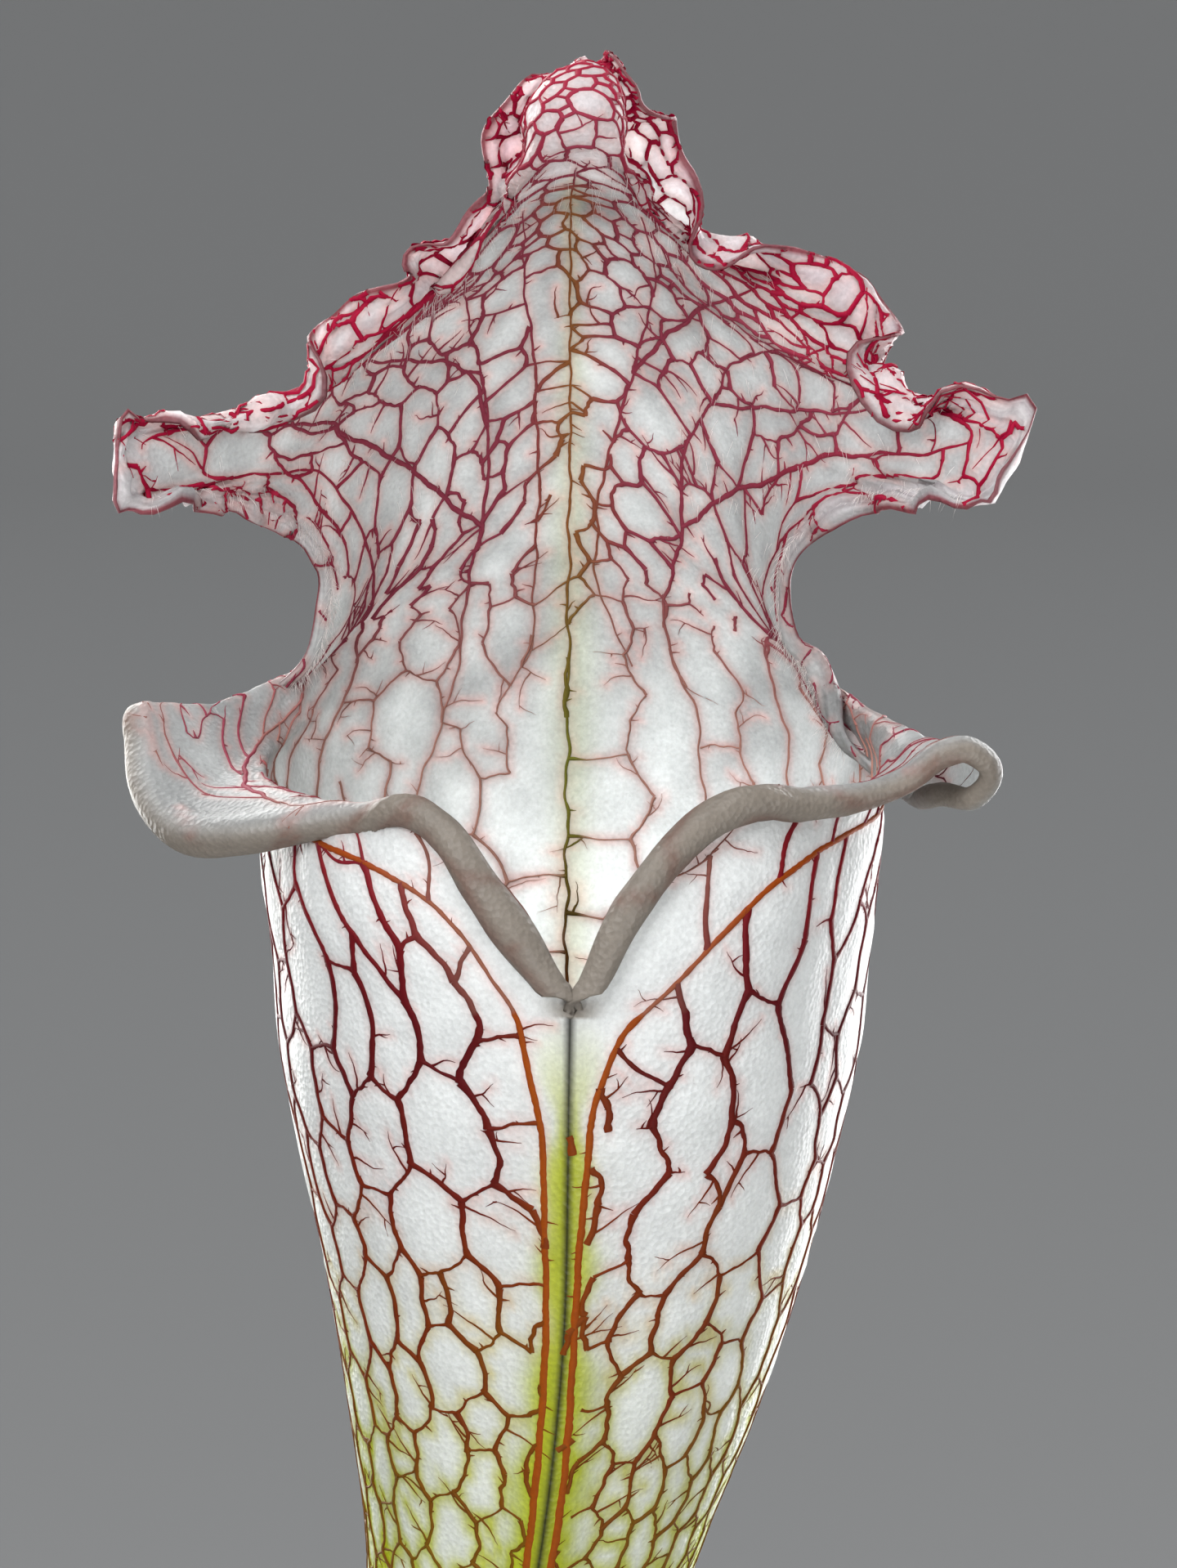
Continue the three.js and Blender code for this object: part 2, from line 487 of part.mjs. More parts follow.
// Paths start upright in their sockets and then lean out: x and y from the foot, height over the foot.
const risingFrom = ([x, y], rows) => [[0, 0, 0], ...rows].map(([u, w, z]) => [x + u, y + w, BASE_Z + z]);
place('spear', spear(risingFrom(FOOT.spear, [[0, 0, 14], [3, -3, 60], [10, -9, 130], [17, -15, 200]])), SPEAR);
place('phyllode_1', swordLeaf(risingFrom(FOOT.phyllode_1,
  [[0, 0, 14], [-4, -12, 90], [-9, -28, 160], [-14, -45, 215]]), 0.3, 1), GREEN);
place('phyllode_2', swordLeaf(risingFrom(FOOT.phyllode_2,
  [[0, 0, 14], [-8, 14, 90], [-18, 31, 150], [-28, 47, 190]]), 2.6, 0.95), GREEN);
place('phyllode_3', swordLeaf(risingFrom(FOOT.phyllode_3,
  [[0, 0, 14], [-9, -3, 70], [-18, -7, 115], [-27, -12, 150]]), 1.2, 0.85), GREEN);
place('phyllode_4', swordLeaf(risingFrom(FOOT.phyllode_4,
  [[0, 0, 14], [7, 13, 95], [16, 28, 165], [27, 43, 225]]), 2.4, 1), GREEN);

let rhizome = toSolid(rhizomeGeometry(0));
let peat = toSolid(peatGeometry()).subtract(toSolid(rhizomeGeometry(GAP + 0.1)));
for (const [x, y, radius] of Object.values(FOOT)) {
  const socket = toSolid(post(x, y, BASE_Z - GAP - 0.5, SOIL_TOP + 20, radius + SOCKET_SPARE, 12));
  rhizome = rhizome.subtract(socket);
  peat = peat.subtract(socket);
}
place('rhizome', toGeometry(rhizome), BARK);
place('soil', toGeometry(peat), PEAT);
place('pot', potGeometry(), PLASTIC);

export default group;
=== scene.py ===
"""Looks of the potted white-topped pitcher plant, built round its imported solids. Metres, +Z up."""
import math
import random

import bpy
import numpy as np
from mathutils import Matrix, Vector, geometry, kdtree


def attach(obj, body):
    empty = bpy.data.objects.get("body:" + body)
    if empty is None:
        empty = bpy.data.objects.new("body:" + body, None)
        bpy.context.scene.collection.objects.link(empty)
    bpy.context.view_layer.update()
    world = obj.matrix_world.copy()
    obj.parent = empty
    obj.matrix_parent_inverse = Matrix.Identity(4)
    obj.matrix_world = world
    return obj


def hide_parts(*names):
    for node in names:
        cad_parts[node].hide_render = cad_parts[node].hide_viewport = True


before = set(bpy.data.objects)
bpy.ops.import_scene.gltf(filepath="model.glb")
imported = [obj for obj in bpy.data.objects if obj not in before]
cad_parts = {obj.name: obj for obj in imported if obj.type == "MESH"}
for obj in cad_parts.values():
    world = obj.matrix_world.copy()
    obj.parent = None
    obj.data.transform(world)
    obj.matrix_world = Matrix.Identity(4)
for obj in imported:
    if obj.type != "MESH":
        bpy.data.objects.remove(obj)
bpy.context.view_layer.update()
MM = 0.001

# ---- sizes of the photo, for the camera only ----
PIXEL_MM = 0.068            # what one pixel covers at the tall pitcher's mouth
PHOTO_WIDTH, PHOTO_HEIGHT = 1440, 1918
NOTCH_PX = (703, 1228)      # where the notch of the lip is seen
CAMERA_UP = math.radians(8)
CAMERA_AWAY = 500.0

# ---- the pitcher's form, as in the solids (mm; x right, y back, z up, zero at the notch's height) ----
# Rim from the notch to the tip: share, x, y, z, turn of the margin (deg), width of the margin.
LEFT_RIM = np.array([
    (0.00, 0, -27, 0, -60, 0.9), (0.03, -2, -27, 2.8, -230, 4.4), (0.07, -4.6, -26.4, 6.4, -250, 7.2),
    (0.11, -7.3, -25.5, 10, -250, 6.6), (0.15, -10, -24, 13.8, -250, 5.6),
    (0.19, -13.4, -22, 15.6, -250, 5.2), (0.23, -17.8, -20, 15.7, -250, 5.2),
    (0.27, -22.5, -18, 14.9, -250, 5.8), (0.30, -27.2, -15.8, 14.1, -250, 6.8),
    (0.33, -31.6, -12, 13.9, -250, 7.6), (0.36, -34.4, -7, 16.2, -245, 7.2),
    (0.39, -35.2, -2, 19.4, -225, 6), (0.408, -35.6, 0.6, 21.2, -190, 4.2),
    (0.425, -34, 3.6, 20, -120, 2), (0.45, -31.6, 7, 18.8, -80, 1.4),
    (0.48, -28.6, 9.5, 19.2, -50, 1), (0.52, -25.1, 11, 20.9, -50, 1), (0.56, -22.2, 11.5, 23.8, -60, 1),
    (0.60, -20.9, 11, 28.2, -60, 1.2), (0.64, -20.8, 9.5, 32.2, -60, 1.2), (0.67, -22.7, 6, 35.5, -60, 1.4),
    (0.70, -26.1, 1, 38.4, -60, 1.8), (0.73, -30.4, -4, 39.7, -20, 2), (0.755, -34.6, -8, 39.6, 20, 1.6),
    (0.775, -36.5, -9.5, 41.2, 60, 1.4), (0.795, -36.7, -8.5, 43.8, 100, 1.8),
    (0.815, -32.4, -5, 45, 140, 3), (0.835, -26.3, -1.5, 46.2, 150, 3.8),
    (0.855, -21, 1.2, 48.6, 60, 2.6), (0.87, -18.8, 2.6, 50.6, -40, 1.8), (0.885, -16.6, 3.4, 52.4, -30, 1.8),
    (0.90, -13.4, 4, 54.4, 60, 3), (0.915, -10.2, 4, 56.6, 130, 4.4), (0.93, -7.4, 3, 60, 135, 4.4),
    (0.945, -5.6, 0.5, 63.8, 130, 4), (0.96, -4.2, -3, 67.6, 120, 3.4), (0.975, -3, -5, 71.2, 90, 2.4),
    (0.99, -0.6, -4.5, 74.2, 70, 1.8), (1.00, 1.3, -3.5, 75.2, 60, 1.4)])
RIGHT_RIM = np.array([
    (0.00, 0, -27, 0, -60, 0.9), (0.03, 1.6, -27.2, 3, -230, 4.2), (0.07, 3.6, -26.8, 7.2, -250, 5.6),
    (0.11, 6.3, -25.8, 11, -250, 5.6), (0.15, 9.6, -24, 14.2, -250, 5.8), (0.19, 13.8, -22, 16.4, -250, 6),
    (0.23, 18.4, -20, 16.9, -250, 5.4), (0.27, 23.1, -17.8, 17.1, -250, 4.3),
    (0.30, 26.6, -16.8, 18.2, -250, 4), (0.325, 29.2, -16.6, 20.2, -250, 4.2),
    (0.345, 31.8, -16.2, 20.6, -250, 4.2), (0.362, 33.8, -15.6, 19, -250, 3.6),
    (0.38, 34, -14.8, 16.8, -250, 3.4), (0.395, 32.4, -13.8, 15, -250, 3.4), (0.41, 30.4, -11, 15, -240, 3.2),
    (0.45, 28.2, 0, 14.9, -140, 2.2), (0.48, 24.8, 5.5, 15.8, -120, 1.6), (0.52, 21.8, 8.5, 18, -130, 1.8),
    (0.55, 20.6, 10, 20.8, -160, 2.6), (0.58, 19.6, 11, 23.2, -160, 2.6), (0.61, 17.9, 11.5, 25.4, -100, 1.6),
    (0.64, 17.4, 10, 30.4, -60, 1.2), (0.67, 18.3, 6.5, 34.3, -60, 1.4), (0.70, 22.4, 1, 38.2, -60, 1.8),
    (0.73, 27.3, -4, 39.6, -20, 2), (0.755, 31.8, -8, 39.6, 20, 1.6), (0.775, 34.8, -9.5, 41.4, 60, 1.4),
    (0.795, 36, -8.5, 44.4, 100, 2), (0.815, 31.6, -5, 46.4, 140, 3), (0.835, 26.2, -1.5, 47.8, 150, 3.8),
    (0.855, 24.6, 1.5, 50, 60, 2.6), (0.87, 23.5, 3, 52.4, -50, 2.4), (0.885, 21.4, 3.4, 54.8, -60, 2.4),
    (0.90, 17.8, 4, 56.2, 30, 2.2), (0.915, 13.2, 4, 57.8, 100, 3.4), (0.93, 9.2, 3, 60.6, 125, 3.8),
    (0.945, 5.8, 0.5, 63.8, 125, 3.8), (0.96, 3.9, -3, 67.6, 110, 3.2), (0.975, 3, -5, 71.2, 90, 2.4),
    (0.99, 2.4, -4.5, 74.2, 70, 1.8), (1.00, 1.3, -3.5, 75.2, 60, 1.4)])
# Midrib down the back and over the hood: share, x, y, z.
MIDRIB = np.array([
    (0, -0.3, 23.9, 0), (0.1, -0.3, 24.4, 7.5), (0.2, -0.3, 24.3, 15), (0.3, -0.3, 23.6, 22.5),
    (0.4, -0.3, 22.3, 30), (0.5, -0.3, 20.8, 37.5), (0.6, -0.3, 18.8, 44.5), (0.7, -0.3, 15.8, 51),
    (0.78, -0.3, 11.8, 56.3), (0.85, -0.3, 6.5, 60.8), (0.9, -0.2, 1, 64), (0.93, 0.2, -5, 66.3),
    (0.95, 0.5, -10, 68.3), (0.97, 0.8, -11, 71.6), (0.985, 1.1, -8, 74.4), (1, 1.3, -3.5, 75.2)])
# From the midrib to the rim: share, reach of the back, reach and depth of the side, height of the left and of
# the right side, share of the drop to the side that the back already has.
WALL = np.array([
    (0, 32.4, 32.4, -27, 0, 0, 0), (0.07, 32, 33, -26, 6.4, 7, 0.12),
    (0.15, 31.5, 32.5, -20, 12.6, 13.2, 0.25), (0.23, 30.8, 30, -12, 15.6, 15.8, 0.35),
    (0.3, 28.5, 26.5, -5, 16.6, 16.6, 0.45),
    (0.36, 25.4, 26.5, 0, 17.8, 17.2, 0.55), (0.42, 23, 26, 5.5, 19, 17.8, 0.55),
    (0.48, 19.6, 23.5, 11.5, 20.4, 18.6, 0.55), (0.56, 15, 18.5, 15.5, 24.6, 22.6, 0.45),
    (0.62, 12.6, 16.5, 15, 30.8, 29, 0.3), (0.67, 11.8, 17, 12.5, 36, 35.6, 0.15),
    (0.72, 11.4, 19, 9, 40.2, 40.2, 0.08), (0.78, 11.1, 20, 6, 43.4, 44, 0.1),
    (0.84, 10, 16, 6, 47.4, 48.6, 0.15), (0.87, 9, 12.5, 6, 50.4, 52.4, 0.2),
    (0.9, 8, 9.8, 5, 55, 56.4, 0.15), (0.93, 6, 6, 1, 60.4, 60.8, 0.05), (0.95, 4.5, 4.5, -4, 63.4, 63.6, 0),
    (0.97, 4, 3.5, -6, 67.6, 67.6, 0), (0.985, 3, 2.5, -5.5, 72, 72, 0), (1, 0.3, 0.3, -3.5, 75.2, 75.2, 0)])
MOUTH_X, MOUTH_Y, MOUTH_RADIUS, MOUTH_DEPTH = -0.3, -1.55, 24.3, 25.45
BASE_Z = 95.0               # where the leaf bases end, inside the rhizome
KEEL_START = 0.1
LIP_ROLL = 1.12             # the lip is rolled this much tighter than in the solids
TUBE_POWER = 1.35           # rows of the tube lie closer towards the mouth

# Tubes: height from the notch, x, y of the centre, radius.
TALL = {
    "node": "pitcher", "size": 1.0, "lean": (-24, 8), "foot": -405.0, "turn": 0.0, "at": (0, 0), "keel": 4.0,
    "tube": np.array([
        (-405, -24, 8, 3), (-390, -24, 8, 3.1), (-300, -22.5, 7.5, 4.4), (-200, -19, 6, 6.6),
        (-150, -15.5, 4.5, 8), (-100, -10.4, 2.6, 10), (-70, -6.8, 1.4, 11.8), (-50, -3.4, 0.4, 13.9),
        (-38, -1.8, 0, 16.9), (-26, -0.8, -0.6, 19.7), (-14, -0.5, -1.2, 22.4), (-6, -0.4, -1.4, 23.9),
        (0, MOUTH_X, MOUTH_Y, MOUTH_RADIUS)]),
}
YOUNG = {
    "node": "young_pitcher", "size": 0.62, "lean": (22, 5), "foot": -235.0, "turn": -30.0, "at": (-11, 2.5),
    "keel": 2.5,
    "tube": np.array([
        (-235, 22, 5, 2.3), (-222, 22, 5, 2.4), (-170, 20, 4.2, 3.4), (-110, 14, 3, 5.2),
        (-70, 8.5, 1.5, 6.8), (-40, 3.5, 0, 9), (-18, 0.6, -0.7, 12.4), (-7, 0, -0.9, 14.5),
        (0, MOUTH_X * 0.62, MOUTH_Y * 0.62, MOUTH_RADIUS * 0.62)]),
}


# ---- small tools ----
def through(rows, place):
    """A smooth curve through rows (place, value, value...), with three-point slopes."""
    knots, values = rows[:, 0], rows[:, 1:]
    gaps = np.diff(knots)
    rises = np.diff(values, axis=0) / gaps[:, None]
    slopes = np.empty_like(values)
    slopes[0], slopes[-1] = rises[0], rises[-1]
    slopes[1:-1] = ((rises[:-1] * gaps[1:, None] + rises[1:] * gaps[:-1, None])
                    / (gaps[1:] + gaps[:-1])[:, None])
    x = np.clip(np.asarray(place, float), knots[0], knots[-1])
    i = np.clip(np.searchsorted(knots, x, side="right") - 1, 0, len(gaps) - 1)
    t = ((x - knots[i]) / gaps[i])[:, None]
    gap = gaps[i][:, None]
    return ((1 + 2 * t) * (1 - t) ** 2 * values[i] + t * (1 - t) ** 2 * gap * slopes[i]
            + t * t * (3 - 2 * t) * values[i + 1] + t * t * (t - 1) * gap * slopes[i + 1])


def unit(vectors):
    return vectors / (np.linalg.norm(vectors, axis=-1, keepdims=True) + 1e-12)


def smooth(x, low, high):
    t = np.clip((x - low) / (high - low), 0, 1)
    return t * t * (3 - 2 * t)


def mix(a, b, t):
    return a + (b - a) * t


def ripple(x, y, seed, octaves=3):
    """A soft wandering value of about -1 to 1 over the plane, from summed sines with seeded phases."""
    draw = np.random.default_rng(seed)
    total = np.zeros(np.broadcast(x, y).shape)
    for octave in range(octaves):
        for _ in range(4):
            angle, phase = draw.uniform(0, 2 * math.pi, 2)
            scale = 2 ** octave * draw.uniform(0.7, 1.3)
            total = total + np.sin(scale * (x * math.cos(angle) + y * math.sin(angle)) + phase) / (octave + 1)
    return total / 3.4


def linear(red, green, blue):
    """A colour as seen on a screen (0 to 255), in linear values."""
    return np.array([((c / 255 + 0.055) / 1.055) ** 2.4 if c > 10 else c / 3294.6
                     for c in (red, green, blue)])


def toward(colours, colour, amount):
    """Each colour taken towards another one by its own amount."""
    return mix(colours, colour, amount[..., None])


def circle(count):
    """Angles evenly round."""
    return np.linspace(0, 2 * math.pi, count, endpoint=False)


def ring(radius, angle, z, x=0, y=0):
    return np.stack([x + radius * np.cos(angle), y + radius * np.sin(angle), np.full(len(angle), z)], 1)


def ring_faces(rings, around, flip=False, capped=True):
    """Faces between rings of points, each closed round, and over both ends."""
    ids = np.arange(rings * around).reshape(rings, around)
    after = np.roll(ids, -1, axis=1)
    faces = np.stack([ids[:-1], after[:-1], after[1:], ids[1:]], -1).reshape(-1, 4)
    caps = [ids[0][::-1], ids[-1]]
    if flip:
        faces, caps = faces[:, [0, 3, 2, 1]], [cap[::-1] for cap in caps]
    return faces.tolist() + [cap.tolist() for cap in caps] if capped else faces


def mesh_piece(name, points, faces, colours=None, smooth_faces=True, scale=MM):
    """A mesh object from points in mm. colours is a linear colour per point."""
    mesh = bpy.data.meshes.new(name)
    points = np.asarray(points, float) * scale
    if isinstance(faces, np.ndarray):
        count, size = faces.shape
        mesh.vertices.add(len(points))
        mesh.vertices.foreach_set("co", points.astype(np.float32).ravel())
        mesh.loops.add(count * size)
        mesh.loops.foreach_set("vertex_index", faces.astype(np.int32).ravel())
        mesh.polygons.add(count)
        mesh.polygons.foreach_set("loop_start", np.arange(0, count * size, size, dtype=np.int32))
        mesh.update(calc_edges=True)
    else:
        mesh.from_pydata(points.tolist(), [], [list(f) for f in faces])
    mesh.validate()
    mesh.polygons.foreach_set("use_smooth", [smooth_faces] * len(mesh.polygons))
    if colours is not None:
        layer = mesh.color_attributes.new("tint", "FLOAT_COLOR", "POINT")
        layer.data.foreach_set("color", np.c_[colours, np.ones(len(colours))].astype(np.float32).ravel())
    piece = bpy.data.objects.new(name, mesh)
    bpy.context.scene.collection.objects.link(piece)
    return piece


def wear(piece, material, slot, *nodes):
    piece.data.materials.append(material)
    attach(piece, "root")
    if nodes:
        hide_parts(*nodes)
    return piece


# ---- materials ----
def material(name):
    made = bpy.data.materials.new(name)
    made.use_nodes = True
    nodes, links = made.node_tree.nodes, made.node_tree.links
    shader = nodes["Principled BSDF"]
    return made, nodes, links, shader, nodes["Material Output"]


def noise(nodes, scale, detail, roughness):
    node = nodes.new("ShaderNodeTexNoise")
    node.inputs["Scale"].default_value = scale
    node.inputs["Detail"].default_value = detail
    node.inputs["Roughness"].default_value = roughness
    return node


def object_space(nodes, links, *targets):
    coordinates = nodes.new("ShaderNodeTexCoord")
    for target in targets:
        links.new(coordinates.outputs["Object"], target.inputs["Vector"])


def ramp(nodes, links, source, low, high, first, second=1.0):
    """Colours (or greys) from first to second as the noise goes from low to high."""
    node = nodes.new("ShaderNodeValToRGB")
    for end, place, colour in zip(node.color_ramp.elements, (low, high), (first, second)):
        end.position = place
        end.color = (*np.broadcast_to(colour, 3), 1)
    links.new(source.outputs["Fac"], node.inputs["Fac"])
    return node.outputs["Color"]


def multiply(nodes, links, first, second):
    """The product of two colours."""
    node = nodes.new("ShaderNodeMix")
    node.data_type, node.blend_type = "RGBA", "MULTIPLY"
    node.inputs[0].default_value = 1.0
    links.new(first, node.inputs[6])
    links.new(second, node.inputs[7])
    return node.outputs[2]


def mesh_tint(nodes):
    """The colour that comes with the mesh."""
    tint = nodes.new("ShaderNodeVertexColor")
    tint.layer_name = "tint"
    return tint.outputs["Color"]


def rough_surface(nodes, links, height, strength, distance, *shaders):
    bump = nodes.new("ShaderNodeBump")
    bump.inputs["Strength"].default_value = strength
    bump.inputs["Distance"].default_value = distance
    links.new(height, bump.inputs["Height"])
    for shader in shaders:
        links.new(bump.outputs["Normal"], shader.inputs["Normal"])


def leaf_material(name, through, roughness, grain, bump, grain_scale=1500.0, gloss=0.35):
    """Waxy leaf: its tint comes with the mesh, light shines through, and fine cells make its surface."""
    made, nodes, links, shader, output = material(name)
    fine, broad = noise(nodes, grain_scale, 3.0, 0.6), noise(nodes, 260.0, 4.0, 0.6)
    cells = nodes.new("ShaderNodeTexVoronoi")
    cells.inputs["Scale"].default_value = grain_scale * 0.85
    object_space(nodes, links, fine, broad, cells)
    shade = ramp(nodes, links, fine, 0.25, 0.75, 1 - grain)
    patch = ramp(nodes, links, broad, 0.3, 0.7, 0.88)
    colour = multiply(nodes, links, multiply(nodes, links, mesh_tint(nodes), shade), patch)
    glow = nodes.new("ShaderNodeBsdfTranslucent")
    links.new(colour, shader.inputs["Base Color"])
    links.new(colour, glow.inputs["Color"])
    shader.inputs["Roughness"].default_value = roughness
    shader.inputs["Specular IOR Level"].default_value = gloss
    rough_surface(nodes, links, cells.outputs["Distance"], bump, 0.00012, shader, glow)
    join = nodes.new("ShaderNodeMixShader")
    join.inputs["Fac"].default_value = through
    links.new(shader.outputs["BSDF"], join.inputs[1])
    links.new(glow.outputs["BSDF"], join.inputs[2])
    links.new(join.outputs["Shader"], output.inputs["Surface"])
    return made


def plain_material(name, low, high, roughness, scale, bump, distance, tinted=False):
    """Noise between two colours (or over the mesh's tint), with a bump of the same noise."""
    made, nodes, links, shader, _ = material(name)
    grain, broad = noise(nodes, scale, 6.0, 0.65), noise(nodes, scale * 0.13, 3.0, 0.55)
    object_space(nodes, links, grain, broad)
    colour = multiply(nodes, links, ramp(nodes, links, grain, 0.3, 0.7, low, high),
                      ramp(nodes, links, broad, 0.3, 0.7, 0.75))
    if tinted:
        colour = multiply(nodes, links, mesh_tint(nodes), colour)
    links.new(colour, shader.inputs["Base Color"])
    links.new(ramp(nodes, links, broad, 0.2, 0.8, roughness * 0.85, min(1, roughness * 1.15)),
              shader.inputs["Roughness"])
    rough_surface(nodes, links, grain.outputs["Fac"], bump, distance, shader)
    return made


# ---- the pitcher's surface ----
def bezier(a, b, c, d, t):
    s = 1 - t
    return s ** 3 * a + 3 * s * s * t * b + 3 * s * t * t * c + t ** 3 * d


def head_points(v, c):
    """Mid-surface for heights v (rows) and places c (columns) between the rims, unscaled."""
    back, wall = through(MIDRIB, v), through(WALL, v)
    points = np.zeros((len(v), len(c), 3))
    for sign, rim in ((-1, LEFT_RIM), (1, RIGHT_RIM)):
        edge = through(rim, v)[:, :3]
        height = wall[:, 3 if sign < 0 else 4]
        handle = back.copy()
        handle[:, 0] += sign * wall[:, 0]
        handle[:, 2] -= wall[:, 5] * (back[:, 2] - height)
        pull = np.stack([MOUTH_X + sign * wall[:, 1], wall[:, 2], height], 1)
        here = (c < 0) if sign < 0 else (c >= 0)
        t = np.abs(c[here])[None, :, None]
        points[:, here] = bezier(back[:, None], handle[:, None], pull[:, None], edge[:, None], t)
    return points


def margin_points(v, steps, sign):
    """The margin swept along one rim: steps + 1 places from the rim outwards."""
    rim = through(LEFT_RIM if sign < 0 else RIGHT_RIM, v)
    step = 0.003
    w = np.clip(v, step, 1 - 3 * step)
    edge, near = np.array([sign * 1.0]), np.array([sign * 0.98])
    along = unit(head_points(w + step, edge)[:, 0] - head_points(w - step, edge)[:, 0])
    across = unit(head_points(w, edge)[:, 0] - head_points(w, near)[:, 0])
    normal = unit(np.cross(along, across) * sign)
    out = unit(np.cross(along, normal))
    out *= np.where(np.sum(out * across, axis=1) < 0, -1, 1)[:, None]
    for _ in range(14):                                  # the lip's direction changes evenly
        for field in (out, normal):
            field[1:-1] = mix(field[1:-1], (field[:-2] + field[2:]) / 2, 0.5 * (v[1:-1, None] < 0.7))
    out, normal = unit(out), unit(normal)
    turn, width = rim[:, 3], rim[:, 4]
    turn = np.where(turn < -200, turn * LIP_ROLL, turn)
    high = smooth(v, 0.74, 0.82)
    ear = np.exp(-((v - 0.785) / 0.026) ** 2)            # the ear's end is cut off square, with two points
    points = 0.9 * np.exp(-((v - 0.767) / 0.004) ** 2) + 1.1 * np.exp(-((v - 0.7985) / 0.0042) ** 2)
    turn = mix(turn, 15.0, 0.85 * ear) + (high + ear) * 42 * ripple(v * 95, v * 0 + sign, 41, 2)
    width = width * (1 + high * 0.42 * ripple(v * 120, v * 0 + sign, 43, 2))
    width = width * (1 + 0.3 * smooth(v, 0.83, 0.86))
    width = mix(width, 0.7 + 2.6 * points, ear)
    # a lip rolls evenly; a hood's margin folds over at the rim and lies flat from there
    t = np.linspace(0, 1, steps + 1)
    fold = mix(t, np.minimum(1, t / 0.4) ** 0.8, (0.9 * high * (1 - ear))[:, None])
    angle = np.radians(turn)[:, None] * fold
    middle = (angle[:, 1:] + angle[:, :-1]) / 2
    reach, rise = (np.concatenate([np.zeros((len(v), 1)), np.cumsum(wave(middle), 1)], 1) / steps
                   for wave in (np.cos, np.sin))
    return rim[:, None, :3] + width[:, None, None] * (reach[..., None] * out[:, None]
                                                      - rise[..., None] * normal[:, None])


def between(field, i, j, a, b):
    return ((1 - a) * ((1 - b) * field[i, j] + b * field[i, j + 1])
            + a * ((1 - b) * field[i + 1, j] + b * field[i + 1, j + 1]))


